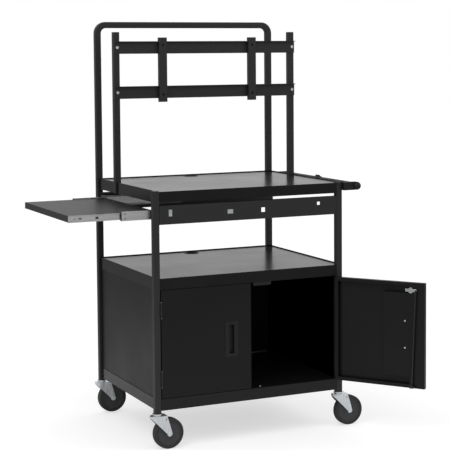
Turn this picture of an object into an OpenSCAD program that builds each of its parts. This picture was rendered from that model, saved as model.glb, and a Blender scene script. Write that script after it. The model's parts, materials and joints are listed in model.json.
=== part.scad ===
// Mobile flat panel cart: a post frame on swivel casters, two shelves, a pull-out side tray,
// a two-door cabinet and a display mount. The front faces -Y and the floor is z = 0.
// The origin lies on the floor at the centre of the four posts.

/* [Frame] */
// Width over the posts
cart_w = 813; // [760:1:960]
// Depth over the posts
cart_d = 646; // [600:1:760]
// Overall height, over the rear frame's top bar
frame_h = 1637.5; // [1590:0.5:1900]
// Side of the square post tube
post_w = 25.4; // [22:0.1:30]
// Wall of the post tube
post_wall = 2; // [1.5:0.1:3]
// Rounding of the tube's corners
post_r = 3.5; // [2.5:0.1:5]
// Bend radius of the rear frame, at the tube's centre line
bend_r = 35; // [30:1:60]
// Height of the posts' lower ends, over the casters
post_z = 139; // [136:1:150]

/* [Shelves] */
// Height of the top shelf's surface
top_z = 986.5; // [975:0.5:1040]
// Height of the middle shelf's surface
mid_z = 656.8; // [600:0.1:700]
// Height of the cabinet floor's surface
floor_z = 194; // [185:1:210]
// Depth of the top shelf's front edge
top_edge_h = 41.5; // [30:0.5:45]
// Depth of the middle shelf's front edge
mid_edge_h = 43.8; // [30:0.1:60]
// Depth of the cabinet floor's front edge
floor_edge_h = 44; // [30:0.5:45]
// Thickness of the shelves' sheet
sheet_t = 1.5; // [1:0.1:2.5]
// Height of the raised lip at the sides and the rear
lip_h = 4; // [2:0.5:10]
// Distance of the shelves' sides from the posts' outer faces
shelf_inset = 9; // [5:0.5:14]
// Width of the folded lip under a shelf, at the sides and the rear
return_w = 14; // [8:1:20]
// Width of the folded lip under a shelf's front edge
front_return_w = 26; // [25:1:34]

/* [Cables] */
// Outer diameter of a cable grommet
grommet_d = 62; // [45:1:70]
// Bore of a cable grommet
grommet_bore_d = 51; // [38:1:52]
// Distance of the grommets' centres from the shelf's rear edge
grommet_back = 38; // [36:1:70]

/* [Tray] */
// Distance of the tray slides' centre line below the top shelf's surface
slide_drop = 88.5; // [86.5:0.5:92]
// Height of a rail
rail_h = 71.5; // [66:0.5:72]
// Clear gap between the top shelf's edge and a rail
rail_drop = 12.6; // [9:0.1:14]
// Length of the tray and of its slides
slide_l = 356; // [320:1:380]
// Reach of the tray beyond the posts' outer faces
tray_out = 323; // [240:1:325]
// Height of the tray's edge
tray_edge_h = 25; // [20:0.5:28]

/* [Doors] */
// Angle of the right door as it stands open
door_open_deg = 127; // [90:1:150]
// Depth of a door pan
door_t = 19; // [16:0.5:24]
// Sheet of a door
door_sheet = 1.2; // [0.9:0.1:1.6]
// Width of the door's folded inner lip
door_lip = 14; // [10:0.5:18]
// Width of the folded stile behind the door's free edge
door_stile = 62; // [40:1:66]
// Width of a door pull
pull_w = 56; // [44:1:60]
// Height of a door pull
pull_h = 138; // [110:1:170]
// Distance of a pull's centre line from the door's free edge
pull_edge = 84; // [78:1:88]

/* [Handle] */
// Diameter of the handle tube
handle_d = 25.4; // [22:0.1:30]
// Distance of the handle's axis from the posts' outer faces
handle_out = 59; // [50:1:75]

/* [Display mount] */
// Height of the display uprights' tops
upright_top_z = 1590; // [1575:1:1700]
// Depth position of the uprights' centre lines
upright_y = 98; // [60:1:120]
// Height of the display mount's centre
mount_z = 1440; // [1400:1:1450]
// Sideways spacing of the display's bolts
mount_dx = 400; // [300:10:600]
// Vertical spacing of the display's bolts
mount_dz = 200; // [150:10:200]

/* [Casters] */
// Wheel diameter
wheel_d = 120; // [112:1:122]
// Wheel width
wheel_w = 32; // [28:1:34]
// Distance of the axle behind the swivel axis
trail = 43; // [38:0.5:44]

/* [Hidden] */

// Overrun of every cut
cut = 1;
// Roundness of the larger curves and of the small ones
round_fn = 64;
small_fn = 32;

// Finishes of the plain model
black = [0.14, 0.14, 0.15];
panel_grey = [0.22, 0.22, 0.23];
plastic = [0.07, 0.07, 0.07];
zinc = [0.78, 0.80, 0.83];
rubber = [0.2, 0.2, 0.2];

// Centre lines and faces of the frame
post_x = cart_w / 2 - post_w / 2;
post_y = cart_d / 2 - post_w / 2;
inner_x = cart_w / 2 - post_w;
front_y = -cart_d / 2;
notch_y = front_y + post_w;
back_y = cart_d / 2 - post_w;
shelf_x = cart_w / 2 - shelf_inset;

// Plastic plugs in the tubes
cap_t = 2;
cap_plug_h = 12;
plug_fit = 0.05;

// Small recess of the sheet-metal fronts behind the posts' front faces
face_set = 0.8;

// Cable grommets, near the shelves' rear edges
grommet_wall = 2.5;
grommet_flange_t = 2;
grommet_neck_h = 10;
grommet_neck_d = grommet_bore_d + 2 * grommet_wall;
grommet_y = back_y - grommet_back;

// Side panels and back
panel_t = 1.2;
panel_set = 2;
panel_x = shelf_x - panel_set;
panel_flange = 15;
cab_z0 = floor_z;
cab_z1 = mid_z - mid_edge_h;

// Rails
rail_t = 2;
rail_depth = post_w - face_set;
rail_z1 = top_z - top_edge_h - rail_drop;
rail_z0 = rail_z1 - rail_h;
rail_lip = 20;
ear_t = 2;

// Windows in the front rail: centre across, centre height over the rail's foot, width, height
window_a_w = 15;
window_a_h = 26;
window_b_w = 25;
window_b_h = 17;
window_c_w = 18;
window_d_w = 13;
window_r = 2;
window_x_shares = [-0.88, -0.225, 0.145, 0.785];
window_z_shares = [0.6, 0.5, 0.49, 0.66];

// Brackets in the front rail that carry the slide
bridge_t = 1.5;
bridge_w = 34;
bridge_h = 36;
bridge_gap = 1;

// Tray slides: three nested channels, seen along the slide
slide_z = top_z - slide_drop;
slide_t = 12.7;
slide_sheet = 1.2;
outer_half = 22.5;
middle_half = 17.5;
inner_half = 12.7;
outer_depth = 9;
middle_u = 4;
middle_depth = 7.3;
inner_depth = 5.6;
ball_gap = 0.15;
middle_back = 38;
slide_front = 8;
front_slide_y = notch_y;
rear_slide_y = back_y - rail_depth;
middle_l = slide_l - middle_back;
tray_x0 = -cart_w / 2 - tray_out;
middle_x0 = -cart_w / 2 + slide_front + middle_back - tray_out / 2;
outer_x0 = -cart_w / 2 + slide_front;
tray_l = slide_l - slide_sheet * 8;
tray_y0 = front_slide_y + slide_t;
tray_y1 = rear_slide_y - slide_t;
tray_over = 0.3;
tray_z1 = slide_z + inner_half + tray_over;
tray_sheet = 1.2;
tray_lip = 10;
stop_w = 4;
stop_x = 9;
slot_r = 2.3;
hole_share = 0.07;
slot_share = 0.13;
square_share = 0.3;
ball_count = 5;
ball_end = 12;

// Doors
hinge_gap = 2.9;
meet_gap = 2.4;
door_z_gap = 2;
door_z0 = floor_z + door_z_gap;
door_z1 = cab_z1 - door_z_gap;
door_h = door_z1 - door_z0;
door_y0 = front_y + face_set;
door_w = inner_x - hinge_gap - meet_gap / 2;
knuckle_r = 3.2;
pin_r = 1.8;
pin_gap = 0.08;
pin_x = inner_x - hinge_gap / 2;
pin_y = front_y - knuckle_r + face_set / 2;
leaf_t = 1.2;
leaf_w = 18;
knuckle_h = 20;
knuckle_gap = 0.4;
hinge_h = 3 * knuckle_h;
hinge_inset = 45;
hinge_levels = [door_z0 + hinge_inset, door_z1 - hinge_inset - hinge_h];
pin_head_r = 2.6;
pin_head_h = 1.2;

// Door pull: a flange on the skin, a pocket behind it
pull_face_t = 1.5;
pull_slot_w = 21;
pull_slot_h = 112;
pull_wall = 1.5;
pull_pocket_d = 14;
pull_r = 3;
pull_gap = 0.2;
pull_z_share = 0.49;
pull_z = door_z0 + door_h * pull_z_share;

// Stiffening cover behind the door's skin, over the pull's pocket
stiff_w = 124;
stiff_d = 16;
stiff_flange = 8;
stiff_end = 42;
stiff_edge = 55;

// Lock: barrel, cam, rod and strike
lock_edge = 56;
lock_drop = 30;
lock_r = 8;
lock_face_r = 11;
lock_face_t = 2.5;
lock_gap = 0.08;
cam_t = 2.5;
cam_r = 11;
cam_ear_l = 22;
cam_ear_r = 5;
strike_t = 1.2;
strike_clear = 0.4;
strike_w = 78;
strike_h = 17;
strike_foot = 12;
cam_y0 = door_y0 + door_t + strike_t + 2 * strike_clear;
cam_bore_gap = 0.08;
lock_nut_h = 3;
lock_post_r = 4;
rod_r = 3;
rod_lean = 15;
rod_back = 5;
rod_end_gap = 3;
rod_guide_gap = 0.4;
rod_guide_h = 10;
rod_guide_w = 16;
rod_play = 0.3;
rod_hole_r = 5;
rod_y = cam_y0 + cam_t + rod_back;
lock_z = door_z1 - lock_drop;
rod_top_x = lock_edge - cam_ear_l;
rod_foot_x = rod_top_x + rod_lean;
rod_foot_z = door_z0 + rod_end_gap;
rod_len = sqrt(pow(lock_z - rod_foot_z, 2) + pow(rod_lean, 2));
rod_tilt = atan2(rod_lean, lock_z - rod_foot_z);
rod_pin_r = 2.2;

// Magnetic catch of the left door
catch_w = 46;
catch_d = 14;
catch_h = 13;
catch_edge = 20;
catch_gap = 0.3;

// Handle
bracket_h = 32;
bracket_t = 20;
boss_r = 16;
boss_wall_end = 6;
handle_drop = 15;
handle_front_out = 9;
handle_rear_in = 42;
handle_z = top_z - handle_drop;
handle_front_y = front_y - handle_front_out;
handle_rear_y = back_y - handle_rear_in;
handle_fit = 0.1;
hook_w = 26;
hook_l = 34;
hook_t = 3;
hook_rise = 7;
hook_y = -12;

// Display mount
upright_x = cart_w / 2 - post_w / 2 - 2 * face_set;
upright_gap = 0.3;
upright_foot_z = top_z - top_edge_h;
upright_plate_t = 3;
upright_plate_h = 34;
upright_plate_w = 70;
bar_t = 3;
bar_h = 50;
bar_flange = 14;
bar_half_dz = 90;
arm_w = 34;
arm_t = 3;
arm_depth = 16;
arm_over = 30;
bar_levels = [mount_z - bar_half_dz, mount_z + bar_half_dz];
foot_bolt_z = top_z - top_edge_h / 2;
bolt_r = 4;
bolt_head_r = 6.5;
bolt_head_h = 5;
arm_hole_r = 4.25;
bolt_fit = 0.1;

// Casters
fork_t = 3;
fork_gap = 1.2;
fork_half = wheel_w / 2 + fork_gap;
axle_z = wheel_d / 2;
ring_t = 3;
race_t = 5;
fork_top_z = post_z - ring_t - race_t;
ring_r = 19;
race_r = 16;
stem_r = 5.5;
stem_gap = 0.08;
stem_head_r = 9;
stem_head_h = 3;
stem_play = 0.3;
plug_h = 30;
axle_r = 5;
axle_gap = 0.08;
axle_head_r = 8.5;
axle_head_h = 4;
fork_rear = 30;
fork_fore = 34;
fork_tip_r = 10.5;
fork_lean_share = 0.78;
fork_neck_share = 0.45;
hub_r = 15;
hub_side = 0.4;
tyre_t = 14;
tyre_r = 5;
rim_r = wheel_d / 2 - tyre_t;
web_half = 11;
rim_t = 5;
rim_set = 2;
rim_fit = 0.05;

// Caster places: front left, front right, rear left, rear right
caster_signs = [[-1, -1], [1, -1], [-1, 1], [1, 1]];

// Profiles

// A square with round corners, centred
module round_square(side, r) {
    square([side - 2 * r, side], center = true);
    square([side, side - 2 * r], center = true);
    for (sx = [-1, 1], sy = [-1, 1])
        translate([sx * (side / 2 - r), sy * (side / 2 - r)])
            circle(r, $fn = small_fn);
}

// The section of the post tube
module tube_section() {
    difference() {
        round_square(post_w, post_r);
        round_square(post_w - 2 * post_wall, post_r - post_wall);
    }
}

// A box with round upright corners, centred on its base
module round_box(size, r) {
    linear_extrude(size.z) {
        square([size.x - 2 * r, size.y], center = true);
        square([size.x, size.y - 2 * r], center = true);
        for (sx = [-1, 1], sy = [-1, 1])
            translate([sx * (size.x / 2 - r), sy * (size.y / 2 - r)])
                circle(r, $fn = small_fn);
    }
}

// A rod along Y from its front end
module rod_along_y(r, l, fn = small_fn) {
    rotate([-90, 0, 0])
        cylinder(h = l, r = r, $fn = fn);
}

// Outline of a shelf, drawn in by a distance: notched round the front posts, square at the rear
function shelf_points(d) = [
    [-shelf_x + d, back_y - d],
    [-shelf_x + d, notch_y + d],
    [-inner_x + d, notch_y + d],
    [-inner_x + d, front_y + face_set + d],
    [inner_x - d, front_y + face_set + d],
    [inner_x - d, notch_y + d],
    [shelf_x - d, notch_y + d],
    [shelf_x - d, back_y - d],
];

// A shelf: one sheet folded down all round, with a return lip below
module shelf_pan(z, edge_h) {
    difference() {
        translate([0, 0, z - edge_h])
            linear_extrude(edge_h)
                polygon(shelf_points(0));
        translate([0, 0, z - edge_h + sheet_t])
            linear_extrude(edge_h - 2 * sheet_t)
                polygon(shelf_points(sheet_t));
        translate([-shelf_x + return_w, front_y + face_set + front_return_w, z - edge_h - cut])
            cube([2 * (shelf_x - return_w), back_y - front_y - face_set - front_return_w - return_w, sheet_t + 2 * cut]);
    }
}

// The raised lips at both sides and along the rear
module shelf_lips(z) {
    for (s = [-1, 1])
        translate([s > 0 ? shelf_x - sheet_t : -shelf_x, notch_y, z - sheet_t])
            cube([sheet_t, back_y - notch_y, lip_h + sheet_t]);
    translate([-shelf_x, back_y - sheet_t, z - sheet_t])
        cube([2 * shelf_x, sheet_t, lip_h + sheet_t]);
}

// A bore down through a shelf for its grommet
module grommet_hole(z) {
    translate([0, grommet_y, z - sheet_t - cut])
        cylinder(h = sheet_t + 2 * cut, d = grommet_neck_d, $fn = round_fn);
}

// A grommet: a flange on the shelf and a neck through it
module grommet(z) {
    translate([0, grommet_y, z])
        difference() {
            union() {
                cylinder(h = grommet_flange_t, d = grommet_d, $fn = round_fn);
                translate([0, 0, -grommet_neck_h])
                    cylinder(h = grommet_neck_h + grommet_flange_t, d = grommet_neck_d - pull_gap, $fn = round_fn);
            }
            translate([0, 0, -grommet_neck_h - cut])
                cylinder(h = grommet_neck_h + grommet_flange_t + 2 * cut, d = grommet_bore_d, $fn = round_fn);
        }
}

module cable_grommets() {
    color(plastic) {
        grommet(top_z);
        grommet(mid_z);
    }
}

// Frame

module rear_frame() {
    leg_h = frame_h - post_w / 2 - bend_r - post_z;
    bend_z = post_z + leg_h;
    color(black)
        translate([0, post_y, 0]) {
            for (s = [-1, 1])
                translate([s * post_x, 0, post_z])
                    linear_extrude(leg_h)
                        tube_section();
            for (s = [-1, 1])
                translate([s * (post_x - bend_r), 0, bend_z])
                    rotate([90, 0, 0])
                        rotate([0, 0, s > 0 ? 0 : 90])
                            rotate_extrude(angle = 90, $fn = round_fn)
                                translate([bend_r, 0])
                                    tube_section();
            translate([-(post_x - bend_r), 0, bend_z + bend_r])
                rotate([0, 90, 0])
                    linear_extrude(2 * (post_x - bend_r))
                        tube_section();
        }
}

module front_post(side) {
    color(black)
        translate([side * post_x, -post_y, post_z])
            linear_extrude(top_z - post_z)
                tube_section();
}

// A plastic plug in an open tube top
module tube_cap() {
    translate([0, 0, -cap_plug_h])
        linear_extrude(cap_plug_h + cap_t)
            round_square(post_w - 2 * post_wall - 2 * plug_fit, post_r - post_wall);
    linear_extrude(cap_t)
        round_square(post_w, post_r);
}

module tube_caps() {
    color(plastic)
        for (s = [-1, 1]) {
            translate([s * post_x, -post_y, top_z])
                tube_cap();
            translate([s * upright_x, upright_y, upright_top_z])
                tube_cap();
        }
}

// Shelves and cabinet

// The notches in the top shelf's sides for the display uprights
module upright_notches() {
    for (s = [-1, 1])
        translate([s * upright_x - post_w / 2 - (s < 0 ? cut + shelf_inset : 0),
                   upright_y - post_w / 2 - upright_gap, upright_foot_z - cut])
            cube([post_w + cut + shelf_inset, post_w + 2 * upright_gap, top_edge_h + lip_h + 2 * cut]);
}

module top_shelf() {
    color(black)
        difference() {
            union() {
                shelf_pan(top_z, top_edge_h);
                shelf_lips(top_z);
            }
            upright_notches();
            grommet_hole(top_z);
        }
}

module mid_shelf() {
    color(black)
        difference() {
            union() {
                shelf_pan(mid_z, mid_edge_h);
                shelf_lips(mid_z);
            }
            grommet_hole(mid_z);
        }
}

// The floor has a hole behind the front edge for the foot of the lock rod
module cabinet_floor() {
    color(black)
        difference() {
            shelf_pan(floor_z, floor_edge_h);
            translate([meet_gap / 2 + rod_foot_x, rod_y, floor_z - sheet_t - cut])
                cylinder(h = sheet_t + 2 * cut, r = rod_hole_r, $fn = small_fn);
        }
}

// A side panel: a sheet with flanges turned inwards on its four edges
module side_panel(side) {
    h = cab_z1 - cab_z0;
    l = back_y - notch_y;
    color(panel_grey)
        mirror([side < 0 ? 1 : 0, 0, 0])
            difference() {
                translate([panel_x - panel_flange, notch_y, cab_z0])
                    cube([panel_flange, l, h]);
                translate([panel_x - panel_flange - cut, notch_y + panel_t, cab_z0 + panel_t])
                    cube([panel_flange + cut - panel_t, l - 2 * panel_t, h - 2 * panel_t]);
            }
}

// The back lies against the side panels' rear flanges and is folded forwards at top and bottom
module back_panel() {
    w = 2 * (panel_x - panel_t - pull_gap);
    h = cab_z1 - cab_z0 - 2 * panel_t;
    color(panel_grey)
        translate([-w / 2, back_y - 2 * panel_t, cab_z0 + panel_t]) {
            cube([w, panel_t, h]);
            for (z = [0, h - panel_t])
                translate([0, panel_t - panel_flange, z])
                    cube([w, panel_flange, panel_t]);
        }
}

// A lipped channel, with its web at y = 0 and its lips at y = rail_depth
module rail_channel(half_w) {
    difference() {
        translate([-half_w, 0, rail_z0])
            cube([2 * half_w, rail_depth, rail_h]);
        translate([-half_w - cut, rail_t, rail_z0 + rail_t])
            cube([2 * (half_w + cut), rail_depth - 2 * rail_t, rail_h - 2 * rail_t]);
        translate([-half_w - cut, rail_t, rail_z0 + rail_lip])
            cube([2 * (half_w + cut), rail_depth, rail_h - 2 * rail_lip]);
    }
}

module rail_window(i, w, h) {
    translate([window_x_shares[i] * inner_x, -cut, rail_z0 + window_z_shares[i] * rail_h])
        rotate([-90, 0, 0])
            round_box([w, h, rail_t + 2 * cut], window_r);
}

// The front rail, between the front posts, closed by an ear at each end
module front_rail() {
    color(black)
        translate([0, front_y + face_set, 0]) {
            difference() {
                rail_channel(inner_x);
                rail_window(0, window_a_w, window_a_h);
                rail_window(1, window_b_w, window_b_h);
                rail_window(2, window_c_w, window_c_w);
                rail_window(3, window_d_w, window_d_w);
            }
            for (s = [-1, 1])
                translate([s > 0 ? inner_x - ear_t : -inner_x, rail_t / 2, rail_z0 + rail_t / 2])
                    cube([ear_t, rail_depth - rail_t, rail_h - rail_t]);
        }
}

// Bent brackets behind the first two windows, from the rail's web back to the slide
module slide_brackets() {
    arm_h = rail_h - 2 * (rail_lip + bridge_gap);
    color(zinc)
        for (i = [0, 1])
            translate([window_x_shares[i] * inner_x - bridge_w / 2, front_y + face_set + rail_t, 0]) {
                translate([0, 0, rail_z0 + window_z_shares[0] * rail_h - bridge_h / 2])
                    cube([bridge_w, bridge_t, bridge_h]);
                for (x = [0, bridge_w - bridge_t])
                    translate([x, bridge_t / 2, rail_z0 + rail_lip + bridge_gap])
                        cube([bridge_t, rail_depth - rail_t - bridge_t / 2, arm_h]);
            }
}

// The rear rail, in front of the rear posts
module rear_rail() {
    color(black)
        translate([0, back_y, 0])
            mirror([0, 1, 0])
                rail_channel(shelf_x);
}

// Tray and slides

// Channel of one slide member: web at u, flanges reaching to u + depth, both in the local frame
module slide_channel(l, half, u, depth, opens) {
    translate([0, u, -half])
        difference() {
            cube([l, depth, 2 * half]);
            translate([-cut, opens > 0 ? slide_sheet : -cut, slide_sheet])
                cube([l + 2 * cut, depth - slide_sheet + cut, 2 * (half - slide_sheet)]);
        }
}

// Places a slide member on both rails; the local y runs from the rail to the tray
module both_slides(x) {
    translate([x, front_slide_y, slide_z])
        children();
    translate([x, rear_slide_y, slide_z])
        mirror([0, 1, 0])
            children();
}

module slide_outer_members() {
    color(zinc)
        both_slides(outer_x0)
            slide_channel(slide_l, outer_half, 0, outer_depth, 1);
}

// The middle member's end holds two small square stops
module slide_middle_members() {
    color(zinc)
        both_slides(middle_x0)
            difference() {
                slide_channel(middle_l, middle_half, middle_u, middle_depth, 1);
                for (s = [-1, 1])
                    translate([stop_x, middle_u - cut, s * middle_half / 2 - stop_w / 2])
                        cube([2 * stop_w, slide_sheet + 2 * cut, stop_w]);
            }
}

// The inner member's web, against the tray, has its fixing hole, slot and square hole
module slide_inner_members() {
    inner_u = slide_t - inner_depth;
    hole_x = slide_l * hole_share;
    slot_x = slide_l * slot_share;
    square_x = slide_l * square_share;
    color(zinc)
        both_slides(tray_x0)
            difference() {
                slide_channel(slide_l, inner_half, inner_u, inner_depth, -1);
                translate([hole_x, slide_t - slide_sheet - cut, 0])
                    rod_along_y(slot_r, slide_sheet + 2 * cut);
                for (i = [-1, 1])
                    translate([slot_x + i * 2 * slot_r, slide_t - slide_sheet - cut, 0])
                        rod_along_y(slot_r, slide_sheet + 2 * cut);
                translate([slot_x - 2 * slot_r, slide_t - slide_sheet - cut, -slot_r])
                    cube([4 * slot_r, slide_sheet + 2 * cut, 2 * slot_r]);
                translate([square_x, slide_t - slide_sheet - cut, -middle_u])
                    cube([3 * middle_u, slide_sheet + 2 * cut, 2 * middle_u]);
            }
}

// Two rows of bearing balls above and two below in each slide, carried by the middle member
module slide_balls() {
    outer_r = (outer_half - slide_sheet - middle_half) / 2;
    inner_r = (middle_half - slide_sheet - inner_half) / 2;
    outer_u = (middle_u + outer_depth) / 2;
    inner_u = (slide_t - inner_depth + middle_u + middle_depth) / 2;
    out_from = tray_out / 2 + ball_end;
    in_to = middle_l - tray_out / 2 - ball_end;
    color(zinc)
        both_slides(middle_x0)
            for (i = [0 : ball_count - 1], s = [-1, 1]) {
                share = i / (ball_count - 1);
                translate([out_from + share * (middle_l - ball_end - out_from), outer_u, s * (middle_half + outer_r)])
                    sphere(outer_r - ball_gap, $fn = small_fn);
                translate([ball_end + share * (in_to - 2 * ball_end), inner_u, s * (inner_half + inner_r)])
                    sphere(inner_r - ball_gap, $fn = small_fn);
            }
}

// The tray: a sheet folded down all round, fixed between the inner slide members
module pull_out_tray() {
    w = tray_y1 - tray_y0;
    color(black)
        translate([tray_x0, tray_y0, tray_z1 - tray_edge_h])
            difference() {
                cube([tray_l, w, tray_edge_h]);
                translate([tray_sheet, tray_sheet, tray_sheet])
                    cube([tray_l - 2 * tray_sheet, w - 2 * tray_sheet, tray_edge_h - 2 * tray_sheet]);
                translate([tray_lip, tray_lip, -cut])
                    cube([tray_l - 2 * tray_lip, w - 2 * tray_lip, tray_sheet + 2 * cut]);
            }
}

// Doors, drawn for the right side with the free edge at x = 0 of the door and the hinge at +X

// Puts a closed door's piece, measured from its free edge, in the right place
module at_door(side) {
    turn = side > 0 ? door_open_deg : 0;
    mirror([side < 0 ? 1 : 0, 0, 0])
        translate([pin_x, pin_y, 0])
            rotate([0, 0, turn])
                translate([-pin_x, -pin_y, 0])
                    translate([meet_gap / 2, door_y0, 0])
                        children();
}

module door_pan(with_lock) {
    color(black)
        difference() {
            translate([0, 0, door_z0])
                cube([door_w, door_t, door_h]);
            translate([door_sheet, door_sheet, door_z0 + door_sheet])
                cube([door_w - 2 * door_sheet, door_t - 2 * door_sheet, door_h - 2 * door_sheet]);
            translate([door_stile, door_sheet, door_z0 + door_lip])
                cube([door_w - door_stile - door_lip, door_t, door_h - 2 * door_lip]);
            translate([pull_edge - pull_slot_w / 2 - pull_wall, -cut, pull_z - pull_slot_h / 2 - pull_wall])
                cube([pull_slot_w + 2 * pull_wall, door_sheet + 2 * cut, pull_slot_h + 2 * pull_wall]);
            if (with_lock)
                translate([lock_edge, -cut, lock_z])
                    rod_along_y(lock_r + lock_gap, door_t + 2 * cut);
        }
}

module left_door() {
    at_door(-1)
        door_pan(false);
}

module right_door() {
    at_door(1)
        door_pan(true);
}

// A pull: a rounded face plate with a slot into a shallow pocket
module door_pull() {
    color(plastic)
        translate([pull_edge, 0, pull_z])
            difference() {
                union() {
                    rotate([90, 0, 0])
                        round_box([pull_w, pull_h, pull_face_t], pull_r);
                    translate([-pull_slot_w / 2 - pull_wall + pull_gap, -pull_face_t / 2,
                               -pull_slot_h / 2 - pull_wall + pull_gap])
                        cube([pull_slot_w + 2 * (pull_wall - pull_gap), pull_pocket_d + pull_face_t / 2,
                              pull_slot_h + 2 * (pull_wall - pull_gap)]);
                }
                translate([-pull_slot_w / 2, -pull_face_t - cut, -pull_slot_h / 2])
                    cube([pull_slot_w, pull_pocket_d + cut, pull_slot_h]);
            }
}

module left_door_pull() {
    at_door(-1)
        door_pull();
}

module right_door_pull() {
    at_door(1)
        door_pull();
}

// A wide hat-section cover on the inside of the skin, which stiffens it and hides the pull's pocket
module door_stiffener() {
    h = door_h - 2 * stiff_end;
    color(black)
        translate([stiff_edge, door_sheet, door_z0 + stiff_end])
            difference() {
                cube([stiff_w, stiff_d, h]);
                translate([stiff_flange, -cut, -cut])
                    cube([stiff_w - 2 * stiff_flange, stiff_d - door_sheet + cut, h + 2 * cut]);
                for (x = [-cut, stiff_w - stiff_flange + door_sheet])
                    translate([x, door_sheet, -cut])
                        cube([stiff_flange - door_sheet + cut, stiff_d, h + 2 * cut]);
            }
}

module left_door_stiffener() {
    at_door(-1)
        door_stiffener();
}

module right_door_stiffener() {
    at_door(1)
        door_stiffener();
}

// One barrel of a hinge, bored for the pin, at the pin's place
module knuckle(z, h) {
    translate([0, 0, z])
        cylinder(h = h, r = knuckle_r, $fn = small_fn);
}

module pin_bore() {
    translate([0, 0, door_z0])
        cylinder(h = door_h, r = pin_r + pin_gap, $fn = small_fn);
}

// The moving leaves: the middle barrel and a leaf along the door's edge flange
module door_leaves() {
    leaf_x = hinge_gap / 2 - leaf_t;
    leaf_y = knuckle_r + knuckle_gap;
    color(black)
        translate([pin_x - meet_gap / 2, pin_y - door_y0, 0])
            difference() {
                union()
                    for (z = hinge_levels) {
                        knuckle(z + knuckle_h + knuckle_gap, knuckle_h - 2 * knuckle_gap);
                        translate([-leaf_x - leaf_t, leaf_y, z])
                            cube([leaf_t, leaf_w, hinge_h]);
                        translate([-leaf_x - leaf_t, pin_r, z + knuckle_h + knuckle_gap])
                            cube([leaf_t, leaf_y - pin_r + cut, knuckle_h - 2 * knuckle_gap]);
                    }
                pin_bore();
            }
}

module left_door_leaves() {
    at_door(-1)
        door_leaves();
}

module right_door_leaves() {
    at_door(1)
        door_leaves();
}

// The fixed leaves: two outer barrels and a leaf on the post's inner face, for both doors
module hinge_post_leaves() {
    leaf_x = hinge_gap / 2 - leaf_t;
    leaf_y = knuckle_r + knuckle_gap;
    color(black)
        for (s = [-1, 1])
            mirror([s < 0 ? 1 : 0, 0, 0])
                translate([pin_x, pin_y, 0])
                    difference() {
                        union()
                            for (z = hinge_levels) {
                                for (dz = [0, 2 * knuckle_h])
                                    knuckle(z + dz, knuckle_h);
                                translate([leaf_x, leaf_y, z])
                                    cube([leaf_t, leaf_w, hinge_h]);
                                for (dz = [0, 2 * knuckle_h])
                                    translate([leaf_x, pin_r, z + dz])
                                        cube([leaf_t, leaf_y - pin_r + cut, knuckle_h]);
                            }
                        pin_bore();
                    }
}

module hinge_pins() {
    color(zinc)
        for (s = [-1, 1], z = hinge_levels)
            translate([s * pin_x, pin_y, z]) {
                cylinder(h = hinge_h, r = pin_r, $fn = small_fn);
                for (end = [-pin_head_h, hinge_h])
                    translate([0, 0, end])
                        cylinder(h = pin_head_h, r = pin_head_r, $fn = small_fn);
            }
}

// Lock, on the right door

module lock_cylinder() {
    barrel_l = cam_y0 - door_y0 - pull_gap;
    color(zinc)
        at_door(1)
            translate([lock_edge, 0, lock_z]) {
                translate([0, -lock_face_t, 0])
                    rod_along_y(lock_face_r, lock_face_t);
                rod_along_y(lock_r, barrel_l);
                translate([0, door_sheet, 0])
                    rod_along_y(lock_face_r, lock_nut_h, 6);
                rod_along_y(lock_post_r, barrel_l + cam_t + 2 * pull_gap);
                translate([0, barrel_l + cam_t + 2 * pull_gap, 0])
                    rod_along_y(lock_face_r / 2, lock_nut_h / 2);
            }
}

// The cam: a round plate with an ear for the rod and, opposite, a tongue for the strike
module lock_cam() {
    color(zinc)
        at_door(1)
            translate([lock_edge, cam_y0 - door_y0, lock_z])
                difference() {
                    union() {
                        rod_along_y(cam_r, cam_t);
                        translate([-cam_ear_l, 0, -cam_ear_r])
                            cube([2 * cam_ear_l, cam_t, 2 * cam_ear_r]);
                        translate([-cam_ear_l, 0, 0])
                            rod_along_y(cam_ear_r, cam_t);
                    }
                    translate([0, -cut, 0])
                        rod_along_y(lock_post_r + cam_bore_gap, cam_t + 2 * cut);
                }
}

// The rod leans from its stud on the cam's ear to the guide at the door's foot
module lock_rod() {
    color(black)
        at_door(1)
            translate([rod_top_x, rod_y - door_y0, lock_z]) {
                rotate([0, 180 - rod_tilt, 0])
                    cylinder(h = rod_len, r = rod_r, $fn = small_fn);
                translate([0, rod_play - rod_back, 0])
                    rod_along_y(rod_pin_r, rod_back - rod_play);
            }
}

// The guide at the foot, a bored block on the door's lower lip
module rod_guide() {
    block_y = door_t;
    block_d = rod_y - door_y0 - door_t + rod_r + rod_guide_gap + door_sheet;
    color(black)
        at_door(1)
            difference() {
                translate([rod_foot_x - rod_guide_w / 2, block_y, door_z0 + rod_end_gap / 2])
                    cube([rod_guide_w, block_d, rod_guide_h]);
                translate([rod_top_x, rod_y - door_y0, lock_z])
                    rotate([0, 180 - rod_tilt, 0])
                        cylinder(h = rod_len + rod_guide_h, r = rod_r + rod_guide_gap, $fn = small_fn);
            }
}

// The strike hangs from the middle shelf's return lip, just behind the right door
module lock_strike() {
    strike_y = door_y0 + door_t + strike_clear;
    color(zinc)
        translate([meet_gap / 2 + lock_edge - strike_w / 2, strike_y, cab_z1 - strike_h]) {
            cube([strike_w, strike_t, strike_h]);
            translate([0, 0, strike_h - strike_t])
                cube([strike_w, strike_foot, strike_t]);
        }
}

// A magnetic catch under the middle shelf, just behind the left door's lip
module magnet_catch() {
    color(plastic)
        translate([-meet_gap / 2 - catch_edge - catch_w, door_y0 + door_t + catch_gap, cab_z1 - catch_h])
            cube([catch_w, catch_d, catch_h]);
}

// Handle

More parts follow.
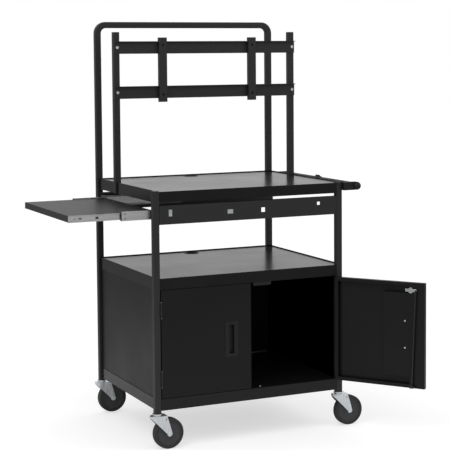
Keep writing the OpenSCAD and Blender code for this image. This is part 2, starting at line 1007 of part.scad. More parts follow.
module handle_tube() {
    color(black)
        translate([cart_w / 2 + handle_out, handle_front_y, handle_z])
            difference() {
                rod_along_y(handle_d / 2, handle_rear_y - handle_front_y, round_fn);
                translate([0, -cut, 0])
                    rod_along_y(handle_d / 2 - post_wall, handle_rear_y - handle_front_y + 2 * cut, round_fn);
            }
}

// One end bracket: an arm from the frame and a round cup over the tube's end
module handle_bracket(root_x, outward) {
    reach = cart_w / 2 + handle_out - root_x;
    translate([cart_w / 2 + handle_out, 0, handle_z])
        difference() {
            union() {
                translate([0, -bracket_t / 2, 0])
                    rod_along_y(boss_r, bracket_t, round_fn);
                translate([0, outward * bracket_t / 2, 0])
                    intersection() {
                        sphere(boss_r, $fn = round_fn);
                        translate([0, outward > 0 ? 0 : -boss_r, 0])
                            rod_along_y(boss_r + cut, boss_r, round_fn);
                    }
                translate([-reach, -bracket_t / 2, -bracket_h / 2])
                    cube([reach, bracket_t, bracket_h]);
            }
            translate([0, outward > 0 ? -bracket_t / 2 - cut : -bracket_t / 2 + boss_wall_end, 0])
                rod_along_y(handle_d / 2 + handle_fit, bracket_t + cut - boss_wall_end, round_fn);
        }
}

module handle_brackets() {
    color(plastic) {
        translate([0, handle_front_y + bracket_t / 2 - boss_wall_end, 0])
            handle_bracket(cart_w / 2, -1);
        translate([0, handle_rear_y - bracket_t / 2 + boss_wall_end, 0])
            handle_bracket(shelf_x, 1);
    }
}

// A small hook plate seated on the handle tube
module handle_hook() {
    color(plastic)
        translate([cart_w / 2 + handle_out, hook_y, handle_z])
            difference() {
                union() {
                    translate([0, -hook_l / 2, 0])
                        rod_along_y(handle_d / 2 + hook_t, hook_l, round_fn);
                    translate([-hook_t / 2, -hook_l / 2, 0])
                        cube([hook_t, hook_l, handle_d / 2 + hook_rise]);
                }
                translate([0, -hook_l / 2 - cut, 0])
                    rod_along_y(handle_d / 2 + handle_fit, hook_l + 2 * cut, round_fn);
                translate([-hook_w, -hook_l / 2 - cut, -hook_w])
                    cube([2 * hook_w, hook_l + 2 * cut, hook_w]);
            }
}

// Display mount

// The uprights: tubes in the top shelf's side notches, drilled for their bolts
module display_uprights() {
    color(black)
        for (s = [-1, 1])
            mirror([s < 0 ? 1 : 0, 0, 0])
                difference() {
                    translate([upright_x, upright_y, upright_foot_z])
                        linear_extrude(upright_top_z - upright_foot_z)
                            tube_section();
                    for (z = bar_levels)
                        translate([upright_x, upright_y - post_w / 2 - cut, z])
                            rod_along_y(bolt_r + bolt_fit, post_w / 2);
                    translate([upright_x - post_w / 2 - cut, upright_y, foot_bolt_z])
                        rotate([0, 90, 0])
                            cylinder(h = post_w / 2, r = bolt_r + bolt_fit, $fn = small_fn);
                }
}

// Foot plates inside the top shelf, against the uprights' inner faces and under the sheet
module upright_brackets() {
    plate_x = upright_x - post_w / 2 - upright_plate_t;
    plate_z = top_z - sheet_t - upright_plate_h;
    color(black)
        for (s = [-1, 1])
            mirror([s < 0 ? 1 : 0, 0, 0])
                difference() {
                    translate([plate_x, upright_y - upright_plate_w / 2, plate_z]) {
                        cube([upright_plate_t, upright_plate_w, upright_plate_h]);
                        translate([-upright_plate_h / 2, 0, upright_plate_h - upright_plate_t])
                            cube([upright_plate_h / 2 + upright_plate_t, upright_plate_w, upright_plate_t]);
                    }
                    translate([plate_x - cut, upright_y, foot_bolt_z])
                        rotate([0, 90, 0])
                            cylinder(h = upright_plate_t + 2 * cut, r = bolt_r + bolt_fit, $fn = small_fn);
                }
}

// Two cross bars on the uprights' front faces, folded forwards at the top to carry the arms
module mount_crossbars() {
    bar_y = upright_y - post_w / 2 - bar_t;
    half = upright_x + post_w / 2;
    color(black)
        for (z = bar_levels)
            difference() {
                translate([-half, bar_y, z - bar_h / 2]) {
                    cube([2 * half, bar_t, bar_h]);
                    translate([0, -bar_flange + bar_t, bar_h - bar_t])
                        cube([2 * half, bar_flange, bar_t]);
                }
                for (s = [-1, 1])
                    translate([s * upright_x, bar_y - cut, z])
                        rod_along_y(bolt_r + bolt_fit, bar_t + 2 * cut);
            }
}

// Two upright arms, channels that hook over the cross bars, with the display's bolt holes
module mount_arms() {
    arm_y = upright_y - post_w / 2 - bar_t - arm_depth;
    arm_z = mount_z - mount_dz / 2 - arm_over;
    arm_h = mount_dz + 2 * arm_over;
    color(black)
        for (s = [-1, 1])
            translate([s * mount_dx / 2, arm_y, arm_z])
                difference() {
                    translate([-arm_w / 2, 0, 0])
                        cube([arm_w, arm_depth, arm_h]);
                    translate([-arm_w / 2 + arm_t, arm_t, -cut])
                        cube([arm_w - 2 * arm_t, arm_depth, arm_h + 2 * cut]);
                    for (z = bar_levels)
                        translate([-arm_w / 2 - cut, arm_depth - bar_flange + bar_t - upright_gap, z + bar_h / 2 - bar_t - arm_z])
                            cube([arm_w + 2 * cut, bar_flange + cut, bar_t + upright_gap]);
                    for (dz = [-1, 1])
                        translate([0, -cut, arm_h / 2 + dz * mount_dz / 2])
                            rod_along_y(arm_hole_r, arm_t + 2 * cut);
                }
}

// Bolts of the cross bars and of the uprights' feet
module mount_bolt() {
    translate([0, -bolt_head_h, 0])
        rod_along_y(bolt_head_r, bolt_head_h, 6);
    rod_along_y(bolt_r, post_w / 2);
}

module mount_bolts() {
    color(zinc) {
        for (s = [-1, 1], z = bar_levels)
            translate([s * upright_x, upright_y - post_w / 2 - bar_t, z])
                mount_bolt();
        for (s = [-1, 1])
            translate([s * (upright_x - post_w / 2 - upright_plate_t), upright_y, foot_bolt_z])
                rotate([0, 0, s > 0 ? -90 : 90])
                    mount_bolt();
    }
}

// Casters

// Fixed stems: a plug in the tube, a ring under the post, the bearing and the pin with its head
module caster_stem() {
    head_z = fork_top_z - fork_t - stem_play;
    translate([0, 0, post_z])
        linear_extrude(plug_h)
            round_square(post_w - 2 * post_wall - 2 * plug_fit, post_r - post_wall);
    translate([0, 0, post_z - ring_t])
        cylinder(h = ring_t, r = ring_r, $fn = round_fn);
    translate([0, 0, fork_top_z + stem_play])
        cylinder(h = race_t - stem_play, r = race_r, $fn = round_fn);
    translate([0, 0, head_z - stem_head_h])
        cylinder(h = post_z - head_z + stem_head_h, r = stem_r, $fn = small_fn);
    translate([0, 0, head_z - stem_head_h])
        cylinder(h = stem_head_h, r = stem_head_r, $fn = small_fn);
}

module caster_stems() {
    color(zinc)
        for (sign = caster_signs)
            translate([sign.x * post_x, sign.y * post_y, 0])
                caster_stem();
}

// Outline of one fork leg, in x and z from the swivel axis and the floor
module fork_leg_outline() {
    waist_x = fork_fore + (trail + fork_tip_r - fork_fore) / 2;
    waist_z = (fork_top_z + axle_z) / 2;
    polygon([
        [-fork_rear - cut, fork_top_z + cut],
        [fork_fore, fork_top_z + cut],
        [fork_fore, fork_top_z - 2 * fork_t],
        [waist_x, waist_z],
        [trail + fork_tip_r, axle_z],
        [trail, axle_z],
        [trail - fork_tip_r * fork_lean_share, axle_z - fork_tip_r * (1 - fork_lean_share)],
        [-fork_rear * fork_neck_share, fork_top_z - 8 * fork_t],
        [-fork_rear - cut, fork_top_z - 2 * fork_t],
    ]);
    translate([trail, axle_z])
        circle(fork_tip_r, $fn = round_fn);
}

// Plan of a fork, drawn in by a distance: two legs joined by a round nose
module fork_plan(d) {
    outer = fork_half + fork_t;
    nose_x = outer - fork_rear;
    translate([nose_x, d - outer])
        square([trail + fork_tip_r - nose_x + d + cut, 2 * (outer - d)]);
    translate([nose_x, 0])
        circle(outer - d, $fn = round_fn);
}

// A fork: one pressed sheet with a flat crown, a leg on each side of the wheel and a round nose
module fork(i) {
    across = fork_half + fork_t + cut;
    color(zinc)
        translate([caster_signs[i].x * post_x, caster_signs[i].y * post_y, 0])
            difference() {
                linear_extrude(fork_top_z)
                    fork_plan(0);
                translate([0, across, 0])
                    rotate([90, 0, 0])
                        linear_extrude(2 * across)
                            difference() {
                                translate([-fork_rear - cut, -cut])
                                    square([fork_rear + trail + fork_tip_r + 3 * cut, fork_top_z + cut]);
                                fork_leg_outline();
                            }
                translate([0, 0, -cut])
                    linear_extrude(fork_top_z - fork_t + cut)
                        fork_plan(fork_t);
                translate([0, 0, fork_top_z - fork_t - cut])
                    cylinder(h = fork_t + 2 * cut, r = stem_r + stem_gap, $fn = small_fn);
                translate([trail, -across, axle_z])
                    rod_along_y(axle_r + plug_fit, 2 * across);
                translate([fork_fore - axle_r, -across, fork_top_z - 5 * fork_t])
                    rod_along_y(axle_r / 2, 2 * across);
            }
}

// An axle bolt with its head and nut outside the fork
module axle(i) {
    color(zinc)
        translate([caster_signs[i].x * post_x + trail, caster_signs[i].y * post_y - fork_half - fork_t, axle_z]) {
            rod_along_y(axle_r, 2 * (fork_half + fork_t));
            translate([0, -axle_head_h, 0])
                rod_along_y(axle_head_r, axle_head_h, 6);
            translate([0, 2 * (fork_half + fork_t), 0])
                rod_along_y(axle_head_r, axle_head_h, 6);
        }
}

// Half section of a wheel: hub, web and rim, from the axis outwards
module wheel_section() {
    half = wheel_w / 2;
    hub_half = half + fork_gap - hub_side;
    translate([axle_r + axle_gap, -hub_half])
        square([hub_r - axle_r, 2 * hub_half]);
    translate([hub_r, -web_half])
        square([rim_r - hub_r - rim_t / 2, 2 * web_half]);
    translate([rim_r - rim_t, -half + rim_set])
        square([rim_t, 2 * (half - rim_set)]);
}

// Half section of a tyre, round at the tread's shoulders
module tyre_section() {
    half = wheel_w / 2;
    translate([rim_r + rim_fit, -half + tyre_r])
        square([tyre_t - rim_fit, 2 * (half - tyre_r)]);
    translate([rim_r + rim_fit, -half])
        square([tyre_t - tyre_r - rim_fit, 2 * half]);
    for (s = [-1, 1])
        translate([wheel_d / 2 - tyre_r, s * (half - tyre_r)])
            circle(tyre_r, $fn = round_fn);
}

// Places a turned piece on a caster's axle
module on_axle(i) {
    translate([caster_signs[i].x * post_x + trail, caster_signs[i].y * post_y, axle_z])
        rotate([90, 0, 0])
            rotate_extrude($fn = round_fn)
                children();
}

module wheel(i) {
    color(panel_grey)
        on_axle(i)
            wheel_section();
}

module tyre(i) {
    color(rubber)
        on_axle(i)
            tyre_section();
}

rear_frame();
front_post(-1);  // front_post_left
front_post(1);  // front_post_right
tube_caps();
top_shelf();
mid_shelf();
cable_grommets();
cabinet_floor();
side_panel(-1);  // left_side_panel
side_panel(1);  // right_side_panel
back_panel();
front_rail();
rear_rail();
slide_brackets();
slide_outer_members();
slide_middle_members();
slide_inner_members();
slide_balls();
pull_out_tray();
left_door();
left_door_pull();
left_door_stiffener();
left_door_leaves();
right_door();
right_door_pull();
right_door_stiffener();
right_door_leaves();
hinge_post_leaves();
hinge_pins();
lock_cylinder();
lock_cam();
lock_rod();
rod_guide();
lock_strike();
magnet_catch();
handle_tube();
handle_brackets();
handle_hook();
display_uprights();
upright_brackets();
mount_crossbars();
mount_arms();
mount_bolts();
caster_stems();
fork(0);  // front_left_fork
axle(0);  // front_left_axle
wheel(0);  // front_left_wheel
tyre(0);  // front_left_tyre
fork(1);  // front_right_fork
axle(1);  // front_right_axle
wheel(1);  // front_right_wheel
tyre(1);  // front_right_tyre
fork(2);  // rear_left_fork
axle(2);  // rear_left_axle
wheel(2);  // rear_left_wheel
tyre(2);  // rear_left_tyre
fork(3);  // rear_right_fork
axle(3);  // rear_right_axle
wheel(3);  // rear_right_wheel
tyre(3);  // rear_right_tyre
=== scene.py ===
import json
import logging
import math
from dataclasses import dataclass
from enum import Enum
from typing import Any, Iterable, Sequence

import bmesh
import bpy
from mathutils import Matrix, Vector

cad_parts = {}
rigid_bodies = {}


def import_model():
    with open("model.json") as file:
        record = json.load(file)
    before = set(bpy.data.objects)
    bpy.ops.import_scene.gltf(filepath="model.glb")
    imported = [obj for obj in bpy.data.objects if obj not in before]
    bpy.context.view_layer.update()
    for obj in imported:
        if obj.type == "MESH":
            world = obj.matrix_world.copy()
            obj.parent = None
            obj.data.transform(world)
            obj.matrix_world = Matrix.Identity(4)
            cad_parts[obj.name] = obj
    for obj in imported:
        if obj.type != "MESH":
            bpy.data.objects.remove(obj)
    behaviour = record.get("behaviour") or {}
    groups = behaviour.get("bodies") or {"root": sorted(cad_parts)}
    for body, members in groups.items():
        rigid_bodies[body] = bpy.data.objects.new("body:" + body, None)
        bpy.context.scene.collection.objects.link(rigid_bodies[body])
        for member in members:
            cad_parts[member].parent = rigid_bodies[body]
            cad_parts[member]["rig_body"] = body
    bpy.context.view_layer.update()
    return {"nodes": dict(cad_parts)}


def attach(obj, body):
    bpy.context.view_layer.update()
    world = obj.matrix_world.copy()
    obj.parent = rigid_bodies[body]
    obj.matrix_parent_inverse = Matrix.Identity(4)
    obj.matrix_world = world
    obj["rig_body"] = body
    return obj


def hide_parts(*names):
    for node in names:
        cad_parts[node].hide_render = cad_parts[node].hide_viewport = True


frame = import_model()
MM = 0.001
# Points nearer to each other than this are one point
WELD = 0.002 * MM
# Neighbouring faces that turn by less than this are one flat face
FLAT = math.radians(0.4)
Point = tuple[float, float, float]
Point2 = tuple[float, float]
Colour = tuple[float, float, float, float]
Values = dict[Any, Any]
Links = dict[Any, bpy.types.NodeSocket]

log = logging.getLogger("cart")


class Slot(Enum):
    """The record's material slots."""

    BLACK_COAT = "black_powder_coat"
    BLACK_PLASTIC = "black_plastic"
    WHEEL_PLASTIC = "wheel_plastic"
    TYRE_RUBBER = "tyre_rubber"
    ZINC = "zinc_plate"
    SLIDE_STEEL = "slide_steel"
    LOCK_CHROME = "lock_chrome"


class Grain(Enum):
    """The kinds of fine surface relief."""

    SOFT = "ShaderNodeTexNoise"
    CELLS = "ShaderNodeTexVoronoi"


class Edge(Enum):
    """Widths of the eased edges, in millimetres, from a stamped leaf's to a moulded bracket's."""

    KEEN = 0.2
    CRISP = 0.3
    CLEAN = 0.4
    PLAIN = 0.5
    EASY = 0.6
    SOFT = 0.7
    SOFTER = 0.8
    BROAD = 1.0
    FOLD = 1.1
    ROUND = 1.2


def linear(hex_colour: str) -> Colour:
    """Turn an sRGB hex colour into a linear colour.

    Args:
        hex_colour: Six hex digits after a hash sign.

    Returns:
        Red, green, blue and alpha, linear.
    """
    parts = [int(hex_colour[i : i + 2], 16) / 255 for i in (1, 3, 5)]
    return (*[c / 12.92 if c <= 0.04045 else ((c + 0.055) / 1.055) ** 2.4 for c in parts], 1.0)


def add(
    tree: bpy.types.NodeTree, kind: str, settings: Values | None = None, links: Links | None = None
) -> bpy.types.Node:
    """Add a node with its settings and its links.

    Args:
        tree: The tree that gets the node.
        kind: Blender's name of the node type.
        settings: Values by attribute name, or by input name or number.
        links: Sockets to link, by input name or number.

    Returns:
        The new node.
    """
    node = tree.nodes.new(kind)
    for key, value in (settings or {}).items():
        if isinstance(key, str) and hasattr(node, key) and key not in node.inputs:
            setattr(node, key, value)
        else:
            node.inputs[key].default_value = value
    for key, socket in (links or {}).items():
        tree.links.new(socket, node.inputs[key])
    return node


WHITE = linear("#ffffff")


@dataclass(frozen=True)
class Finish:
    """One surface finish: a base colour with slow mottling, uneven gloss and a fine relief."""

    name: str
    slot: Slot
    base: str
    mottle: str
    roughness: tuple[float, float]
    # Sizes of the mottling and of the grain, and the grain's height
    mottle_mm: float
    grain_mm: float
    relief_mm: float
    metallic: float = 0.0
    ior: float = 1.5
    # The shader's specular level: less than a half where a matting agent breaks up the gloss
    shine: float = 0.5
    # Scale of the pattern along each axis: less than one draws it out
    stretch: Point = (1.0, 1.0, 1.0)
    grain: Grain = Grain.SOFT
    # Noise values that give the least and the most roughness, and the mottling's octaves
    noise_span: tuple[float, float] = (0.3, 0.7)
    mottle_detail: float = 3.0

    def material(self) -> bpy.types.Material:
        """Build the finish's material once.

        Returns:
            The material, new or found.
        """
        found = bpy.data.materials.get(self.name)
        if found:
            return found
        made = bpy.data.materials.new(self.name)
        made.use_nodes = True
        tree = made.node_tree
        tree.nodes.clear()
        place = add(tree, "ShaderNodeTexCoord")
        spread = add(
            tree, "ShaderNodeMapping", {"Scale": self.stretch}, {"Vector": place.outputs["Object"]}
        )
        where = {"Vector": spread.outputs["Vector"]}
        cloud = {"Scale": 1 / (self.mottle_mm * MM), "Detail": self.mottle_detail}
        slow = add(tree, Grain.SOFT.value, cloud, where)
        fine = add(tree, self.grain.value, {"Scale": 1 / (self.grain_mm * MM)}, where)
        height = fine.outputs["Distance" if self.grain is Grain.CELLS else "Fac"]
        tone = add(
            tree,
            "ShaderNodeMix",
            {"data_type": "RGBA", 6: linear(self.base), 7: linear(self.mottle)},
            {0: slow.outputs["Fac"]},
        )
        span = dict(zip(("From Min", "From Max", "To Min", "To Max"), self.noise_span + self.roughness))
        gloss = add(tree, "ShaderNodeMapRange", span, {"Value": slow.outputs["Fac"]})
        bump = {"Strength": 1.0, "Distance": self.relief_mm * MM}
        relief = add(tree, "ShaderNodeBump", bump, {"Height": height})
        surface = add(
            tree,
            "ShaderNodeBsdfPrincipled",
            {"Metallic": self.metallic, "IOR": self.ior, "Specular IOR Level": self.shine},
            {
                "Base Color": tone.outputs[2],
                "Roughness": gloss.outputs["Result"],
                "Normal": relief.outputs["Normal"],
            },
        )
        add(tree, "ShaderNodeOutputMaterial", None, {"Surface": surface.outputs["BSDF"]})
        return made


# Polyester powder coat, sprayed and baked: near black, satin, with a faint orange-peel skin.
# The real peel is about 1.5 mm wide, too fine to show, so it is drawn at 4 mm.
POWDER_COAT = Finish(
    "black_powder_coat", Slot.BLACK_COAT, "#0c0c0d", "#111112", (0.30, 0.40), 120, 4, 0.012, ior=1.5,
    shine=0.15,
)
# The same coat on the shelves' flat tops, where it flows out smoother and mirrors the backdrop
SHELF_COAT = Finish(
    "black_shelf_coat", Slot.BLACK_COAT, "#151516", "#1a1a1b", (0.20, 0.25), 220, 6, 0.008, ior=1.5,
    shine=0.25,
)
# The same coat on the long panels, laid on a little thicker: a broader, softer sheen
PANEL_COAT = Finish(
    "black_panel_coat", Slot.BLACK_COAT, "#111112", "#161617", (0.34, 0.44), 240, 5, 0.012, ior=1.5,
    shine=0.23,
)
# Injection-moulded ABS: deep black, with a spark-eroded grain that breaks up its highlights.
# The real grain is finer than the render can show, so it is drawn at 1.2 mm.
MOULDED_ABS = Finish(
    "black_moulded_abs", Slot.BLACK_PLASTIC, "#121213", "#1a1a1b", (0.42, 0.55), 40, 1.2, 0.03,
    ior=1.54, shine=0.3, grain=Grain.CELLS,
)
# Polyolefin wheel core, moulded in dark grey: waxy, and dull in uneven patches. The real grain of
# this and of the finishes below is too fine to show, so it is drawn at 1 to 2 mm.
WHEEL_CORE = Finish(
    "grey_wheel_core", Slot.WHEEL_PLASTIC, "#333335", "#404042", (0.5, 0.62), 25, 1.5, 0.03, ior=1.49
)
# Non-marking rubber, moulded in dark grey, with a bloom that leaves it dull
TYRE_RUBBER = Finish(
    "grey_tyre_rubber", Slot.TYRE_RUBBER, "#222224", "#303032", (0.6, 0.75), 18, 1.1, 0.05, ior=1.52
)
# Steel, bright zinc plated and blue passivated: a cool, pale metal with cloudy gloss
ZINC_PLATE = Finish(
    "blue_zinc_plate", Slot.ZINC, "#dbe2e8", "#f6f9fb", (0.26, 0.42), 9, 1.6, 0.02, metallic=1.0
)
# The same plate on the pressed forks, with upright streaks that the bath leaves as it drains
FORK_ZINC = Finish(
    "streaked_fork_zinc", Slot.ZINC, "#bfc9d1", "#ffffff", (0.18, 0.40), 5, 1.6, 0.02, metallic=1.0,
    stretch=(1.0, 1.0, 0.1),
)
# Cold-rolled slide steel, clear zinc plated, with the lines of rolling along its length
SLIDE_STEEL = Finish(
    "rolled_slide_steel", Slot.SLIDE_STEEL, "#dcdddf", "#f4f4f5", (0.22, 0.36), 14, 1.4, 0.015,
    metallic=1.0, stretch=(0.06, 1.0, 1.0),
)
# Turned and polished, with bright chrome: a clear mirror, hardly clouded
LOCK_CHROME = Finish(
    "bright_lock_chrome", Slot.LOCK_CHROME, "#d3d5d8", "#eceef0", (0.08, 0.16), 8, 2.0, 0.004, metallic=1.0
)


class Bench:
    """Makes meshes and pieces, dresses them, and puts them on the cart's bodies."""

    def __init__(self) -> None:
        """Start with no pieces, and with the trees that grow what repeats."""
        self.count = 0
        self.fasteners = FastenerTree()
        self.balls = BallTree()
        self.tubes = BentTubeTree()
        self.ribs = RibTree()

    @staticmethod
    def body_of(node: str) -> str:
        """Give the body that carries a CAD node."""
        return frame["nodes"][node]["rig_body"]

    def finish(
        self,
        piece: bpy.types.Object,
        finish: Finish,
        body: str,
        stands_for: Sequence[str] = (),
        sharp: float = 35.0,
    ) -> None:
        """Dress a piece and put it on its body.

        Args:
            piece: The mesh object, in place.
            finish: The finish that it gets.
            body: The body that carries it.
            stands_for: The CAD nodes that it replaces.
            sharp: Edges above this angle, in degrees, stay sharp. With 0, its shading stays.
        """
        piece.data.materials.clear()
        piece.data.materials.append(finish.material())
        piece.data.polygons.foreach_set("material_index", [0] * len(piece.data.polygons))
        if sharp:
            piece.data.shade_smooth()
            piece.data.set_sharp_from_angle(angle=math.radians(sharp))
        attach(piece, body)
        if stands_for:
            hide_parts(*stands_for)
        self.count += 1
        log.info("%s: %d faces on %s", piece.name, len(piece.data.polygons), body)

    def from_bmesh(self, name: str, form: bmesh.types.BMesh) -> bpy.types.Object:
        """Turn a bmesh into an object at the origin, with its faces outwards.

        Args:
            name: The object's name.
            form: The bmesh, which is freed.

        Returns:
            The object.
        """
        bmesh.ops.recalc_face_normals(form, faces=form.faces)
        mesh = bpy.data.meshes.new(name)
        form.to_mesh(mesh)
        form.free()
        piece = bpy.data.objects.new(name, mesh)
        bpy.context.scene.collection.objects.link(piece)
        return piece

    def bake(self, piece: bpy.types.Object) -> None:
        """Turn a piece's modifiers into plain mesh and remove them.

        Args:
            piece: The piece.
        """
        graph = bpy.context.evaluated_depsgraph_get()
        graph.update()
        mesh = bpy.data.meshes.new_from_object(piece.evaluated_get(graph), depsgraph=graph)
        piece.modifiers.clear()
        piece.data = mesh
        mesh.name = piece.name

    def eased(self, node: str, finish: Finish, edge: Edge, sharp: float = 35.0) -> None:
        """Stand a copy with eased edges in for a CAD node.

        Args:
            node: The CAD node's name.
            finish: The finish.
            edge: The kind of its edges.
            sharp: Edges above this angle, in degrees, are eased.
        """
        form = bmesh.new()
        form.from_mesh(frame["nodes"][node].data)
        bmesh.ops.remove_doubles(form, verts=form.verts, dist=WELD)
        bmesh.ops.dissolve_limit(form, angle_limit=FLAT, verts=form.verts, edges=form.edges)
        piece = self.from_bmesh(f"{node}_dressed", form)
        ease = piece.modifiers.new("ease", "BEVEL")
        ease.width = edge.value * MM
        ease.segments = 2
        ease.limit_method = "ANGLE"
        ease.angle_limit = math.radians(sharp)
        ease.miter_outer = "MITER_ARC"
        weigh = piece.modifiers.new("weigh", "WEIGHTED_NORMAL")
        weigh.keep_sharp = True
        self.bake(piece)
        self.finish(piece, finish, self.body_of(node), [node], sharp=0)

    @staticmethod
    def box_of(node: str) -> tuple[Vector, Vector]:
        """Give a CAD node's lowest and highest corner in the cart's frame.

        Args:
            node: The CAD node's name.

        Returns:
            The two corners, in metres.
        """
        spots = [corner.co for corner in frame["nodes"][node].data.vertices]
        low = Vector([min(spot[i] for spot in spots) for i in range(3)])
        high = Vector([max(spot[i] for spot in spots) for i in range(3)])
        return low, high

    @staticmethod
    def islands_of(node: str) -> list[tuple[Vector, float]]:
        """Find the loose parts of a CAD node.

        Args:
            node: The CAD node's name.

        Returns:
            The centre and the half height of each, in metres, in the order of their places.
        """
        form = bmesh.new()
        form.from_mesh(frame["nodes"][node].data)
        bmesh.ops.remove_doubles(form, verts=form.verts, dist=WELD)
        left = set(form.verts)
        found = []
        while left:
            group = {left.pop()}
            edge = set(group)
            while edge:
                edge = {e.other_vert(v) for v in edge for e in v.link_edges} - group
                group |= edge
            left -= group
            low = Vector([min(v.co[i] for v in group) for i in range(3)])
            high = Vector([max(v.co[i] for v in group) for i in range(3)])
            found.append(((low + high) / 2, (high.z - low.z) / 2))
        form.free()
        return sorted(found, key=lambda item: tuple(round(c, 5) for c in item[0]))

    def screws(
        self,
        name: str,
        body: str,
        finish: Finish,
        places: Sequence[Point],
        facing: Sequence[Point],
        sizes: dict[str, float],
        sides: int = 24,
    ) -> None:
        """Set screw heads on washers at points, in millimetres.

        Args:
            name: The piece's name.
            body: The body that carries it.
            finish: The finish.
            places: Where the heads sit.
            facing: The way that each head faces.
            sizes: Sizes in millimetres, by the tree's input names.
            sides: Sides of the head: few for a flat-sided one, many for a round one.
        """
        piece = points_piece(name, places, facing)
        values = {key: size * MM for key, size in sizes.items()}
        values |= {"Sides": sides, "Material": finish.material()}
        self.fasteners.grow(self, piece, values)
        self.finish(piece, finish, body, sharp=30)

    def turned(
        self, name: str, rings: Sequence[Point2], centre: Vector, along: Vector, sides: int = 64
    ) -> bpy.types.Object:
        """Turn a closed half section round an axis.

        Args:
            name: The piece's name.
            rings: Radius and distance along the axis, in millimetres, in order round the section.
            centre: A point on the axis, in metres.
            along: The axis.
            sides: Faces round the axis.

        Returns:
            The turned piece.
        """
        along = along.normalized()
        first = along.orthogonal().normalized()
        second = along.cross(first)
        form = bmesh.new()
        loops = []
        for radius, reach in rings:
            loop = []
            for i in range(sides if radius else 1):
                angle = math.tau * i / sides
                side = first * math.cos(angle) + second * math.sin(angle)
                loop.append(form.verts.new(centre + (along * reach + side * radius) * MM))
            loops.append(loop)
        for one, two in zip(loops, loops[1:] + loops[:1]):
            for i in range(sides):
                there = [one[i % len(one)], one[(i + 1) % len(one)]]
                back = [two[(i + 1) % len(two)], two[i % len(two)]]
                corners = list(dict.fromkeys(there + back))
                if len(corners) > 2:
                    form.faces.new(corners)
        return self.from_bmesh(name, form)


def block(form: bmesh.types.BMesh, one: Point, other: Point) -> None:
    """Add a box to a form.

    Args:
        form: The bmesh that gets it.
        one: A corner, in millimetres.
        other: The corner across from it.
    """
    low = Vector([min(a, b) for a, b in zip(one, other)]) * MM
    high = Vector([max(a, b) for a, b in zip(one, other)]) * MM
    place = Matrix.Translation((low + high) / 2) @ Matrix.Diagonal((*(high - low), 1.0))
    bmesh.ops.create_cube(form, size=1.0, matrix=place)


class GrownTree:
    """A geometry node tree with named inputs, ended by Realize Instances and Set Material."""

    def __init__(self, name: str, inputs: Sequence[tuple[str, str, Any]]) -> None:
        """Start the tree.

        Args:
            name: The tree's name.
            inputs: Name, socket type and default of each input.
        """
        self.tree = bpy.data.node_groups.new(name, "GeometryNodeTree")
        face = self.tree.interface
        face.new_socket("Geometry", in_out="INPUT", socket_type="NodeSocketGeometry")
        for label, kind, default in inputs:
            socket = face.new_socket(label, in_out="INPUT", socket_type=kind)
            if default is not None:
                socket.default_value = default
        face.new_socket("Geometry", in_out="OUTPUT", socket_type="NodeSocketGeometry")
        self.given = add(self.tree, "NodeGroupInput")

    def add(self, kind: str, settings: Values | None = None, links: Links | None = None) -> bpy.types.Node:
        """Add a node to this tree, as add() does."""
        return add(self.tree, kind, settings, links)

    def end(self, socket: bpy.types.NodeSocket) -> None:
        """Close the tree.

        Args:
            socket: The socket that holds the geometry so far.
        """
        real = self.add("GeometryNodeRealizeInstances", None, {"Geometry": socket})
        dressed = self.add(
            "GeometryNodeSetMaterial",
            None,
            {"Geometry": real.outputs["Geometry"], "Material": self.given.outputs["Material"]},
        )
        self.add("NodeGroupOutput", None, {"Geometry": dressed.outputs["Geometry"]})

    def grow(self, bench: Bench, piece: bpy.types.Object, values: Values) -> None:
        """Run the tree on a piece and keep the plain mesh.

        Args:
            bench: The bench that bakes it.
            piece: The object that carries the points.
            values: Values by input name.
        """
        grower = piece.modifiers.new("grower", "NODES")
        grower.node_group = self.tree
        for item in self.tree.interface.items_tree:
            if item.item_type == "SOCKET" and item.in_out == "INPUT" and item.name in values:
                grower[item.identifier] = values[item.name]
        bench.bake(piece)
        form = bmesh.new()
        form.from_mesh(piece.data)
        bmesh.ops.remove_doubles(form, verts=form.verts, dist=WELD)
        bmesh.ops.recalc_face_normals(form, faces=form.faces)
        form.to_mesh(piece.data)
        form.free()


